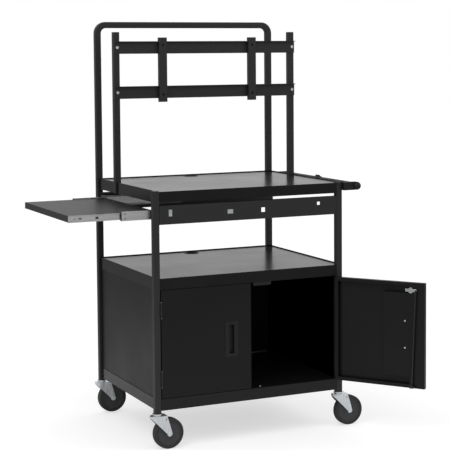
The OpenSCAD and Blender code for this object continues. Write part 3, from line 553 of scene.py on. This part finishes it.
class FastenerTree(GrownTree):
    """Tapered heads on washers, one at each point, turned to face its way."""

    washer_sides = 24
    # Radius of a head's top as a share of its foot's
    crown_share = 0.82

    def __init__(self) -> None:
        """Build the tree."""
        super().__init__(
            "fastener_heads",
            [
                ("Head Radius", "NodeSocketFloat", 4 * MM),
                ("Head Height", "NodeSocketFloat", 2 * MM),
                ("Sides", "NodeSocketInt", 24),
                ("Washer Radius", "NodeSocketFloat", 5 * MM),
                ("Washer Height", "NodeSocketFloat", 0.6 * MM),
                ("Material", "NodeSocketMaterial", None),
            ],
        )
        given = self.given.outputs
        sink = self.add("ShaderNodeMath", {"operation": "MULTIPLY", 1: 0.5}, {0: given["Washer Height"]})
        crown = {"operation": "MULTIPLY", 1: self.crown_share}
        narrow = self.add("ShaderNodeMath", crown, {0: given["Head Radius"]})
        head = self.add(
            "GeometryNodeMeshCone",
            None,
            {
                "Vertices": given["Sides"],
                "Radius Top": narrow.outputs[0],
                "Radius Bottom": given["Head Radius"],
                "Depth": given["Head Height"],
            },
        )
        washer = self.add(
            "GeometryNodeMeshCylinder",
            {"Vertices": self.washer_sides},
            {"Radius": given["Washer Radius"], "Depth": given["Washer Height"]},
        )
        up = self.add("ShaderNodeCombineXYZ", None, {"Z": given["Washer Height"]})
        seat = self.add("ShaderNodeCombineXYZ", None, {"Z": sink.outputs[0]})
        both = self.add("GeometryNodeJoinGeometry")
        for part, lift in ((head, up), (washer, seat)):
            ends = {"Geometry": part.outputs["Mesh"], "Translation": lift.outputs[0]}
            moved = self.add("GeometryNodeTransform", None, ends)
            self.tree.links.new(moved.outputs["Geometry"], both.inputs["Geometry"])
        named = {"data_type": "FLOAT_VECTOR", "Name": "facing"}
        facing = self.add("GeometryNodeInputNamedAttribute", named)
        turn = self.add(
            "FunctionNodeAlignRotationToVector", {"axis": "Z"}, {"Vector": facing.outputs["Attribute"]}
        )
        placed = self.add(
            "GeometryNodeInstanceOnPoints",
            None,
            {
                "Points": given["Geometry"],
                "Instance": both.outputs["Geometry"],
                "Rotation": turn.outputs["Rotation"],
            },
        )
        self.end(placed.outputs["Instances"])


class BallTree(GrownTree):
    """Bearing balls, one at each point."""

    segments = 16
    rings = 10

    def __init__(self) -> None:
        """Build the tree."""
        super().__init__(
            "bearing_balls",
            [("Radius", "NodeSocketFloat", 1.7 * MM), ("Material", "NodeSocketMaterial", None)],
        )
        given = self.given.outputs
        ball = self.add(
            "GeometryNodeMeshUVSphere",
            {"Segments": self.segments, "Rings": self.rings},
            {"Radius": given["Radius"]},
        )
        placed = self.add(
            "GeometryNodeInstanceOnPoints",
            None,
            {"Points": given["Geometry"], "Instance": ball.outputs["Mesh"]},
        )
        self.end(placed.outputs["Instances"])


class BentTubeTree(GrownTree):
    """A square tube with round corners, swept along a path with rounded bends."""

    # Steps in each bend of the path and in each corner of the tube
    bend_steps = 16
    corner_steps = 6

    def __init__(self) -> None:
        """Build the tree."""
        super().__init__(
            "bent_square_tube",
            [
                ("Side", "NodeSocketFloat", 25.4 * MM),
                ("Corner Radius", "NodeSocketFloat", 3.5 * MM),
                ("Bend Radius", "NodeSocketFloat", 35 * MM),
                ("Material", "NodeSocketMaterial", None),
            ],
        )
        given = self.given.outputs
        path = self.add("GeometryNodeMeshToCurve", None, {"Mesh": given["Geometry"]})
        bent = self.add(
            "GeometryNodeFilletCurve",
            {"mode": "POLY", "Count": self.bend_steps},
            {"Curve": path.outputs["Curve"], "Radius": given["Bend Radius"]},
        )
        sides = {"Width": given["Side"], "Height": given["Side"]}
        square = self.add("GeometryNodeCurvePrimitiveQuadrilateral", None, sides)
        profile = self.add(
            "GeometryNodeFilletCurve",
            {"mode": "POLY", "Count": self.corner_steps},
            {"Curve": square.outputs["Curve"], "Radius": given["Corner Radius"]},
        )
        swept = self.add(
            "GeometryNodeCurveToMesh",
            {"Fill Caps": True},
            {"Curve": bent.outputs["Curve"], "Profile Curve": profile.outputs["Curve"]},
        )
        self.end(swept.outputs["Mesh"])


class RibTree(GrownTree):
    """Flat ribs set evenly round an axis, as on the face of a moulded wheel core."""

    def __init__(self) -> None:
        """Build the tree."""
        super().__init__(
            "wheel_ribs",
            [
                ("Count", "NodeSocketInt", 12),
                ("Inner Radius", "NodeSocketFloat", 17 * MM),
                ("Length", "NodeSocketFloat", 20 * MM),
                ("Thickness", "NodeSocketFloat", 1.6 * MM),
                ("Width", "NodeSocketFloat", 23 * MM),
                ("Material", "NodeSocketMaterial", None),
            ],
        )
        given = self.given.outputs
        axes = {"X": given["Length"], "Y": given["Width"], "Z": given["Thickness"]}
        size = self.add("ShaderNodeCombineXYZ", None, axes)
        rib = self.add("GeometryNodeMeshCube", None, {"Size": size.outputs[0]})
        half = self.add("ShaderNodeMath", {"operation": "MULTIPLY", 1: 0.5}, {0: given["Length"]})
        ends = {0: half.outputs[0], 1: given["Inner Radius"]}
        out = self.add("ShaderNodeMath", {"operation": "ADD"}, ends)
        reach = self.add("ShaderNodeCombineXYZ", None, {"X": out.outputs[0]})
        moved = self.add(
            "GeometryNodeTransform",
            None,
            {"Geometry": rib.outputs["Mesh"], "Translation": reach.outputs[0]},
        )
        copies = {"Geometry": given["Geometry"], "Amount": given["Count"]}
        spots = self.add("GeometryNodeDuplicateElements", {"domain": "POINT"}, copies)
        part = self.add("ShaderNodeMath", {"operation": "DIVIDE", 0: math.tau}, {1: given["Count"]})
        steps = {0: spots.outputs["Duplicate Index"], 1: part.outputs[0]}
        angle = self.add("ShaderNodeMath", {"operation": "MULTIPLY"}, steps)
        turn = self.add("ShaderNodeCombineXYZ", None, {"Y": angle.outputs[0]})
        placed = self.add(
            "GeometryNodeInstanceOnPoints",
            None,
            {
                "Points": spots.outputs["Geometry"],
                "Instance": moved.outputs["Geometry"],
                "Rotation": turn.outputs[0],
            },
        )
        self.end(placed.outputs["Instances"])


def points_piece(
    name: str, places: Sequence[Point], facing: Iterable[Point] = (), joined: bool = False
) -> bpy.types.Object:
    """Make an object of bare points, in millimetres, each with the way that it faces.

    Args:
        name: The piece's name.
        places: The points.
        facing: The way that each point faces.
        joined: Whether edges join the points in order.

    Returns:
        The object.
    """
    mesh = bpy.data.meshes.new(name)
    edges = [(i, i + 1) for i in range(len(places) - 1)] if joined else []
    mesh.from_pydata([Vector(p) * MM for p in places], edges, [])
    ways = [c for way in facing for c in way]
    if ways:
        mesh.attributes.new("facing", "FLOAT_VECTOR", "POINT").data.foreach_set("vector", ways)
    piece = bpy.data.objects.new(name, mesh)
    bpy.context.scene.collection.objects.link(piece)
    return piece


@dataclass
class Posts:
    """The front posts, the bent rear frame and the plugs in the open tube tops."""

    bench: Bench
    # Side of the square tube, and radii of its corners and of its bends
    side_mm: float = 25.4
    corner_mm: float = 3.5
    bend_mm: float = 35.0

    def build(self) -> None:
        """Dress the tubes and their plugs."""
        for node in ("front_post_left", "front_post_right"):
            self.bench.eased(node, POWDER_COAT, Edge.PLAIN, sharp=50)
        self.bend()
        self.bench.eased("tube_caps", MOULDED_ABS, Edge.PLAIN)

    def bend(self) -> None:
        """Sweep the rear frame's tube up, over and down."""
        low, high = self.bench.box_of("rear_frame")
        half = self.side_mm / 2
        x, y = high.x / MM - half, (low.y + high.y) / 2 / MM
        foot, top = low.z / MM, high.z / MM - half
        path = [(-x, y, foot), (-x, y, top), (x, y, top), (x, y, foot)]
        tube = points_piece("rear_frame_bent_tube", path, joined=True)
        sizes = {"Side": self.side_mm, "Corner Radius": self.corner_mm, "Bend Radius": self.bend_mm}
        values: Values = {key: size * MM for key, size in sizes.items()}
        self.bench.tubes.grow(self.bench, tube, values | {"Material": POWDER_COAT.material()})
        self.bench.finish(tube, POWDER_COAT, self.bench.body_of("rear_frame"), ["rear_frame"])


@dataclass
class Shelves:
    """The folded shelves, the rails under the top one and the cable grommets."""

    bench: Bench
    # Distance of the cabinet floor's side screws from the middle, and their depth under its top
    screw_reach: float = 286.0
    screw_drop: float = 24.0

    def build(self) -> None:
        """Dress the sheet-metal decks and the grommets."""
        for node in ("top_shelf", "mid_shelf", "cabinet_floor"):
            self.bench.eased(node, SHELF_COAT, Edge.FOLD)
        for node in ("front_rail", "rear_rail"):
            self.bench.eased(node, POWDER_COAT, Edge.SOFTER)
        self.bench.eased("slide_brackets", ZINC_PLATE, Edge.CRISP)
        self.screws()
        self.bench.eased("cable_grommets", MOULDED_ABS, Edge.EASY)

    def screws(self) -> None:
        """Screw the cabinet floor's sides to the posts, with heads in the cart's own coat."""
        low, high = self.bench.box_of("cabinet_floor")
        level = high.z / MM - self.screw_drop
        spots, ways = [], []
        for x, way in ((low.x / MM, -1.0), (high.x / MM, 1.0)):
            for y in (-self.screw_reach, self.screw_reach):
                spots.append((x, y, level))
                ways.append((way, 0.0, 0.0))
        sizes = {"Head Radius": 3.4, "Head Height": 1.6, "Washer Radius": 4.6, "Washer Height": 0.5}
        body = self.bench.body_of("cabinet_floor")
        self.bench.screws("deck_screws", body, POWDER_COAT, spots, ways, sizes)


@dataclass
class Cabinet:
    """Side panels, back, doors, hinges and catches."""

    bench: Bench
    sides: tuple[str, str] = ("left", "right")
    # Distance of the pull's screws from the free edge and their height, and the cover's depth
    cover_screws: tuple[Point2, Point2] = ((81.0, 459.0), (81.0, 353.0))
    cover_face_mm: float = 17.2

    def build(self) -> None:
        """Dress the cabinet."""
        for node in ("left_side_panel", "right_side_panel", "back_panel"):
            self.bench.eased(node, PANEL_COAT, Edge.PLAIN)
        for side in self.sides:
            self.bench.eased(f"{side}_door", PANEL_COAT, Edge.PLAIN)
            self.bench.eased(f"{side}_door_pull", MOULDED_ABS, Edge.EASY)
            self.bench.eased(f"{side}_door_stiffener", PANEL_COAT, Edge.PLAIN)
            self.bench.eased(f"{side}_door_leaves", POWDER_COAT, Edge.KEEN)
            self.fixings(side)
        self.bench.eased("hinge_post_leaves", POWDER_COAT, Edge.KEEN)
        self.bench.eased("hinge_pins", ZINC_PLATE, Edge.CRISP)
        self.bench.eased("magnet_catch", MOULDED_ABS, Edge.PLAIN)
        self.bench.eased("lock_strike", POWDER_COAT, Edge.CRISP)

    def fixings(self, side: str) -> None:
        """Set the pull's two screws on the inside of a door's cover.

        Args:
            side: The door's side, left or right.
        """
        side_sign = 1 if side == "right" else -1
        place = DoorPlace(side_sign)
        body = self.bench.body_of(f"{side}_door")
        spots = [place.point(x, self.cover_face_mm, z) for x, z in self.cover_screws]
        inward = [place.way(0.0, 1.0)] * len(spots)
        sizes = {"Head Radius": 2.6, "Head Height": 1.0, "Washer Radius": 3.4, "Washer Height": 0.4}
        self.bench.screws(f"{side}_cover_screws", body, ZINC_PLATE, spots, inward, sizes)


@dataclass(frozen=True)
class DoorPlace:
    """Where a door hangs: turns places measured from its free edge into the cart's frame."""

    # 1 on the right and -1 on the left
    side: int
    # Places of the hinge pin and of the free edge when shut, and the right door's angle at rest
    pin: Point2 = (379.65, -325.8)
    edge: Point2 = (1.2, -322.2)
    open_deg: float = 127.0

    def point(self, x: float, y: float, z: float) -> Point:
        """Give a place on the door in the cart's frame.

        Args:
            x: Distance from the free edge, in millimetres.
            y: Depth behind the door's face.
            z: Height from the floor.

        Returns:
            The place, in millimetres.
        """
        turn = math.radians(self.open_deg if self.side > 0 else 0.0)
        dx, dy = x + self.edge[0] - self.pin[0], y + self.edge[1] - self.pin[1]
        across = self.pin[0] + dx * math.cos(turn) - dy * math.sin(turn)
        return self.side * across, self.pin[1] + dx * math.sin(turn) + dy * math.cos(turn), z

    def way(self, x: float, y: float) -> Point:
        """Give a direction on the door in the cart's frame.

        Args:
            x: Its share away from the free edge.
            y: Its share inwards.

        Returns:
            The direction.
        """
        turn = math.radians(self.open_deg if self.side > 0 else 0.0)
        across = x * math.cos(turn) - y * math.sin(turn)
        return self.side * across, x * math.sin(turn) + y * math.cos(turn), 0.0


@dataclass
class Lock:
    """The right door's lock: cylinder, cam, rod and guide."""

    bench: Bench
    # Place of the cylinder's face on the door, from its free edge and from the floor, and its depth
    face: Point2 = (56.0, 581.0)
    face_mm: float = -2.5
    # Radius and height above the cylinder's face, from the axis outwards and back
    plug_section: tuple[Point2, ...] = ((0.0, 0.0), (6.2, 0.0), (6.2, 0.3), (5.8, 0.7), (0.0, 0.7))
    plug_sides: int = 40
    # Heights from the plug's middle of the black bars that stand for the keyway: painted shade where the
    # slot would be dark
    keyway_shade_steps: tuple[float, ...] = (-2.4, -0.8, 0.8, 2.4)

    def build(self) -> None:
        """Dress the lock."""
        self.bench.eased("lock_cylinder", LOCK_CHROME, Edge.CLEAN)
        self.bench.eased("lock_cam", LOCK_CHROME, Edge.CLEAN)
        self.bench.eased("lock_rod", POWDER_COAT, Edge.CRISP)
        self.bench.eased("rod_guide", POWDER_COAT, Edge.CLEAN)
        self.key_plug()

    def key_plug(self) -> None:
        """Set the turning plug in the cylinder's face, with black bars on it as painted shade for its
        keyway.
        """
        door = DoorPlace(1)
        x, z = self.face
        hub = Vector(door.point(x, self.face_mm, z)) * MM
        out = Vector(door.way(0.0, -1.0))
        body = self.bench.body_of("lock_cylinder")
        plug = self.bench.turned("lock_key_plug", self.plug_section, hub, out, self.plug_sides)
        self.bench.finish(plug, LOCK_CHROME, body)
        top = self.face_mm - self.plug_section[-1][1]
        # No slot is cut: black bars a hair proud of the plug's face are painted shade for the keyway
        spots = [door.point(x, top, z + step) for step in self.keyway_shade_steps]
        sizes = {"Head Radius": 0.8, "Head Height": 0.15, "Washer Radius": 0.9, "Washer Height": 0.1}
        ways = [tuple(out)] * len(spots)
        self.bench.screws("lock_keyway_painted_shade", body, MOULDED_ABS, spots, ways, sizes, sides=4)


@dataclass
class TraySlides:
    """The pull-out tray and the two ball-bearing slides that carry it."""

    bench: Bench
    # The catches' length and thickness, their play in the member, and their hooks' reach and height
    catch_l: float = 3.2
    catch_t: float = 2.6
    catch_play: float = 0.2
    hook_l: float = 6.8
    hook_t: float = 3.4
    catch_edge: Edge = Edge.PLAIN

    def build(self) -> None:
        """Dress the tray and its slides."""
        self.bench.eased("pull_out_tray", POWDER_COAT, Edge.BROAD)
        for node in ("slide_outer_members", "slide_middle_members", "slide_inner_members"):
            self.bench.eased(node, SLIDE_STEEL, Edge.CLEAN)
        self.roll()
        self.catches()

    def catches(self) -> None:
        """Clip a black catch, with a hook at each end, on the outer end of each middle member."""
        low, high = self.bench.box_of("slide_middle_members")
        x, z = low.x / MM, (low.z + high.z) / 2 / MM
        half = (high.z - low.z) / 2 / MM - self.catch_play
        near, far = x - self.catch_play - self.catch_l, x - self.catch_play
        form = bmesh.new()
        for y, way in ((low.y / MM, 1), (high.y / MM, -1)):
            block(form, (near, y, z - half), (far, y + way * self.catch_t, z + half))
            for end in (-1, 1):
                foot = (far, y + way * self.hook_l, z + end * (half - self.hook_t))
                block(form, (near, y, z + end * half), foot)
        piece = self.bench.from_bmesh("slide_catches", form)
        ease = piece.modifiers.new("ease", "BEVEL")
        ease.width = self.catch_edge.value * MM
        self.bench.bake(piece)
        self.bench.finish(piece, MOULDED_ABS, self.bench.body_of("slide_middle_members"))

    def roll(self) -> None:
        """Grow the bearing balls, in their two sizes."""
        sizes: dict[float, list[Point]] = {}
        for centre, radius in self.bench.islands_of("slide_balls"):
            sizes.setdefault(round(radius / MM, 2), []).append(tuple(centre / MM))
        body = self.bench.body_of("slide_balls")
        stands_for = ["slide_balls"]
        for number, (radius, places) in enumerate(sorted(sizes.items())):
            row = points_piece(f"slide_ball_row_{number}", places)
            values = {"Radius": radius * MM, "Material": LOCK_CHROME.material()}
            self.bench.balls.grow(self.bench, row, values)
            self.bench.finish(row, LOCK_CHROME, body, stands_for)
            stands_for = []


@dataclass
class Handle:
    """The push handle with its two end brackets and its hook."""

    bench: Bench

    def build(self) -> None:
        """Dress the handle."""
        self.bench.eased("handle_tube", POWDER_COAT, Edge.PLAIN)
        self.bench.eased("handle_brackets", MOULDED_ABS, Edge.ROUND)
        self.bench.eased("handle_hook", MOULDED_ABS, Edge.SOFTER)


@dataclass
class DisplayMount:
    """The uprights with their feet, the cross bars and the arms."""

    bench: Bench

    def build(self) -> None:
        """Dress the mount."""
        self.bench.eased("display_uprights", POWDER_COAT, Edge.PLAIN, sharp=50)
        self.bench.eased("upright_brackets", POWDER_COAT, Edge.EASY)
        self.bench.eased("mount_crossbars", POWDER_COAT, Edge.SOFT)
        self.bench.eased("mount_arms", POWDER_COAT, Edge.SOFT)
        self.bench.eased("mount_bolts", ZINC_PLATE, Edge.PLAIN)


@dataclass
class Caster:
    """One swivel caster: pressed fork, axle bolt, core and tyre."""

    bench: Bench
    place: str
    sides: int = 96
    rib_count: int = 12
    rib_sizes: Sequence[tuple[str, float]] = (
        ("Inner Radius", 16.0), ("Length", 24.0), ("Thickness", 1.4), ("Width", 22.5)
    )
    # Radius and distance from the wheel's middle, from the bore outwards
    core_section: Sequence[Point2] = (
        (5.1, 15.6), (13.6, 15.6), (14.6, 14.8), (15.0, 11.4), (16.5, 11.0), (21.0, 11.0), (21.6, 11.5),
        (23.4, 11.5), (24.0, 11.0), (37.0, 11.0), (38.0, 11.6), (41.0, 11.9), (42.5, 13.6), (45.9, 14.0),
    )
    # Radius and depth below the bolt's end
    axle_section: Sequence[Point2] = (
        (0.0, 2.6), (2.4, 2.2), (3.0, 1.6), (3.2, 0.2), (3.8, 0.0), (7.2, 0.4), (8.3, 1.4), (8.5, 2.4),
        (8.5, 4.0), (5.0, 4.0),
    )
    tyre_section: Sequence[Point2] = (
        (46.1, 15.0), (46.8, 15.9), (50.2, 16.0), (50.9, 15.5), (52.6, 15.5), (53.3, 15.9), (55.4, 15.8),
        (57.3, 14.9), (58.8, 13.3), (59.6, 11.3), (59.9, 8.0), (60.0, 1.0), (60.0, 0.4),
    )

    def build(self) -> None:
        """Dress the caster."""
        self.bench.eased(f"{self.place}_fork", FORK_ZINC, Edge.SOFTER)
        low, high = self.bench.box_of(f"{self.place}_tyre")
        hub = (low + high) / 2
        self.axle(hub)
        self.core(hub)
        self.tread(hub)

    def turn(self, part: str, half_section: Sequence[Point2], hub: Vector, finish: Finish) -> None:
        """Turn a section that is the same on both sides of the wheel, and stand it in for its node.

        Args:
            part: The last part of the node's name.
            half_section: Radius and distance from the wheel's middle, in millimetres.
            hub: The wheel's centre, in metres.
            finish: The finish.
        """
        node = f"{self.place}_{part}"
        back = [(radius, -reach) for radius, reach in reversed(half_section)]
        section = [*half_section, *back]
        piece = self.bench.turned(f"{node}_turned", section, hub, Vector((0, 1, 0)), self.sides)
        self.bench.finish(piece, finish, self.bench.body_of(node), [node], sharp=28)

    def axle(self, hub: Vector) -> None:
        """Turn the axle bolt: domed heads with a drilled centre, and the shank between them.

        Args:
            hub: The wheel's centre, in metres.
        """
        low, high = self.bench.box_of(f"{self.place}_axle")
        face = (high.y - low.y) / 2 / MM
        section = [(radius, face - depth) for radius, depth in self.axle_section]
        self.turn("axle", section, hub, ZINC_PLATE)

    def core(self, hub: Vector) -> None:
        """Turn the core: hub boss, web with ribs, two raised rings and the rim under the tyre.

        Args:
            hub: The wheel's centre, in metres.
        """
        self.turn("wheel", self.core_section, hub, WHEEL_CORE)
        ribs = points_piece(f"{self.place}_wheel_ribs", [tuple(hub / MM)])
        values: Values = {key: size * MM for key, size in self.rib_sizes}
        values |= {"Count": self.rib_count, "Material": WHEEL_CORE.material()}
        self.bench.ribs.grow(self.bench, ribs, values)
        self.bench.finish(ribs, WHEEL_CORE, self.bench.body_of(f"{self.place}_wheel"))

    def tread(self, hub: Vector) -> None:
        """Turn the tyre: side walls with a moulded step, round shoulders and a mould line."""
        self.turn("tyre", self.tyre_section, hub, TYRE_RUBBER)


@dataclass(frozen=True)
class Softbox:
    """A square softbox: its place and side in metres, and its power in watts."""

    name: str
    place: Point
    side: float
    power: float

    def hang(self, aim: Point) -> None:
        """Hang the softbox.

        Args:
            aim: The place that it faces, in metres.
        """
        lamp = bpy.data.lights.new(self.name, "AREA")
        lamp.size = self.side
        lamp.energy = self.power
        box = bpy.data.objects.new(self.name, lamp)
        box.location = self.place
        box.rotation_euler = (Vector(aim) - Vector(self.place)).to_track_quat("-Z", "Y").to_euler()
        bpy.context.scene.collection.objects.link(box)


@dataclass
class Studio:
    """Floor, soft light, white surroundings and the photograph's camera, all in metres."""

    # The photograph's camera; its angles are in radians
    lens_mm: float = 111.34
    sensor_mm: float = 36.0
    shift_up: float = -0.16
    place: Point = (-2.3388, -5.1529, 1.5018)
    yaw: float = 0.43268
    pitch: float = 0.07107
    roll: float = 0.00770
    sight: float = 200.0
    # The floor's size, the reach of its pale part and the width over which it dims beyond that
    floor_size: float = 60.0
    paper_reach: float = 1.15
    paper_fade: float = 2.0
    # The floor's tones: as the camera sees it, and as the pieces do, near by and far off
    floor_seen: str = "#f6f6f6"
    floor_near: str = "#e6e6e6"
    floor_far: str = "#969696"
    # Strength of the glow that whitens the floor for the camera, and its share
    glow: float = 1.45
    glow_share: float = 0.4
    # Level of the light from all sides, and levels of the room and of the backdrop that gloss sees
    ambient: float = 0.8
    room: float = 0.47
    backdrop: float = 0.8
    # The way in which the backdrop stands, and the cosines to it where it starts and is full
    backdrop_way: Point = (0.42, 0.9, 0.1)
    backdrop_span: Point2 = (0.72, 0.93)
    aim: Point = (0.0, 0.0, 0.8)
    softboxes: tuple[Softbox, ...] = (
        Softbox("key_softbox", (-2.2, -1.6, 3.6), 2.4, 38.0),
        Softbox("fill_softbox", (2.6, -2.2, 3.0), 2.4, 16.0),
    )

    def build(self) -> None:
        """Set up the whole studio."""
        self.floor()
        self.surroundings()
        for box in self.softboxes:
            box.hang(self.aim)
        self.camera()
        bpy.context.scene.view_settings.view_transform = "Standard"

    def floor(self) -> None:
        """Lay a plain pale floor that keeps the shadow. Far off, the pieces mirror a dimmer one."""
        form = bmesh.new()
        half = self.floor_size / 2
        corners = [form.verts.new((x * half, y * half, 0)) for x, y in ((-1, -1), (1, -1), (1, 1), (-1, 1))]
        form.faces.new(corners)
        mesh = bpy.data.meshes.new("studio_floor")
        form.to_mesh(mesh)
        form.free()
        floor = bpy.data.objects.new("studio_floor", mesh)
        bpy.context.scene.collection.objects.link(floor)
        paint = bpy.data.materials.new("studio_floor")
        paint.use_nodes = True
        tree = paint.node_tree
        tree.nodes.clear()
        ray = add(tree, "ShaderNodeLightPath")
        place = add(tree, "ShaderNodeTexCoord")
        away = add(tree, "ShaderNodeVectorMath", {"operation": "LENGTH"}, {0: place.outputs["Object"]})
        beyond = add(
            tree,
            "ShaderNodeMapRange",
            {"From Min": self.paper_reach, "From Max": self.paper_reach + self.paper_fade},
            {"Value": away.outputs["Value"]},
        )
        laid = add(
            tree,
            "ShaderNodeMix",
            {"data_type": "RGBA", 6: linear(self.floor_near), 7: linear(self.floor_far)},
            {0: beyond.outputs["Result"]},
        )
        tone = add(
            tree,
            "ShaderNodeMix",
            {"data_type": "RGBA", 7: linear(self.floor_seen)},
            {0: ray.outputs["Is Camera Ray"], 6: laid.outputs[2]},
        )
        matt = add(tree, "ShaderNodeBsdfDiffuse", None, {"Color": tone.outputs[2]})
        glow = add(tree, "ShaderNodeEmission", {"Color": WHITE, "Strength": self.glow})
        share = add(
            tree,
            "ShaderNodeMath",
            {"operation": "MULTIPLY", 1: self.glow_share},
            {0: ray.outputs["Is Camera Ray"]},
        )
        ends = {0: share.outputs[0], 1: matt.outputs[0], 2: glow.outputs[0]}
        both = add(tree, "ShaderNodeMixShader", None, ends)
        add(tree, "ShaderNodeOutputMaterial", None, {"Surface": both.outputs[0]})
        mesh.materials.append(paint)

    def surroundings(self) -> None:
        """Light the scene evenly; gloss sees a lit backdrop behind the cart and a dimmer room."""
        world = bpy.data.worlds.new("studio")
        world.use_nodes = True
        tree = world.node_tree
        tree.nodes.clear()
        soft = add(tree, "ShaderNodeBackground", {"Color": WHITE, "Strength": self.ambient})
        white = add(tree, "ShaderNodeBackground", {"Color": WHITE, "Strength": 1.0})
        place = add(tree, "ShaderNodeTexCoord")
        facing = add(
            tree,
            "ShaderNodeVectorMath",
            {"operation": "DOT_PRODUCT", 1: self.backdrop_way},
            {0: place.outputs["Generated"]},
        )
        start, full = self.backdrop_span
        backdrop = add(
            tree,
            "ShaderNodeMapRange",
            {"From Min": start, "From Max": full, "To Min": self.room, "To Max": self.backdrop},
            {"Value": facing.outputs["Value"]},
        )
        gloss = add(
            tree, "ShaderNodeBackground", {"Color": WHITE}, {"Strength": backdrop.outputs["Result"]}
        )
        ray = add(tree, "ShaderNodeLightPath")
        near = add(
            tree,
            "ShaderNodeMixShader",
            None,
            {0: ray.outputs["Is Glossy Ray"], 1: soft.outputs[0], 2: gloss.outputs[0]},
        )
        mixed = add(
            tree,
            "ShaderNodeMixShader",
            None,
            {0: ray.outputs["Is Camera Ray"], 1: near.outputs[0], 2: white.outputs[0]},
        )
        add(tree, "ShaderNodeOutputWorld", None, {"Surface": mixed.outputs[0]})
        bpy.context.scene.world = world

    def camera(self) -> None:
        """Place the camera as the photograph's camera stood."""
        flat = math.cos(self.pitch)
        ahead = Vector((math.sin(self.yaw) * flat, math.cos(self.yaw) * flat, -math.sin(self.pitch)))
        level = Vector((math.cos(self.yaw), -math.sin(self.yaw), 0.0))
        sunk = ahead.cross(level)
        right = level * math.cos(self.roll) + sunk * math.sin(self.roll)
        down = sunk * math.cos(self.roll) - level * math.sin(self.roll)
        turn = Matrix((right, -down, -ahead)).transposed().to_4x4()
        data = bpy.data.cameras.new("photo_camera")
        data.lens = self.lens_mm
        data.sensor_width = self.sensor_mm
        data.shift_y = self.shift_up
        data.clip_end = self.sight
        eye = bpy.data.objects.new("photo_camera", data)
        eye.matrix_world = Matrix.Translation(self.place) @ turn
        bpy.context.scene.collection.objects.link(eye)
        bpy.context.scene.camera = eye


def main() -> None:
    """Build each sub-assembly in turn, then the studio."""
    logging.basicConfig(level=logging.INFO, format="%(name)s %(message)s")
    bench = Bench()
    parts: list[Any] = [
        Posts(bench),
        Shelves(bench),
        Cabinet(bench),
        Lock(bench),
        TraySlides(bench),
        Handle(bench),
        DisplayMount(bench),
    ]
    parts += [Caster(bench, f"{end}_{side}") for end in ("front", "rear") for side in ("left", "right")]
    for part in parts:
        part.build()
    bench.eased("caster_stems", ZINC_PLATE, Edge.PLAIN)
    Studio().build()
    log.info("%d pieces dressed", bench.count)


if __name__ == "__main__":
    main()
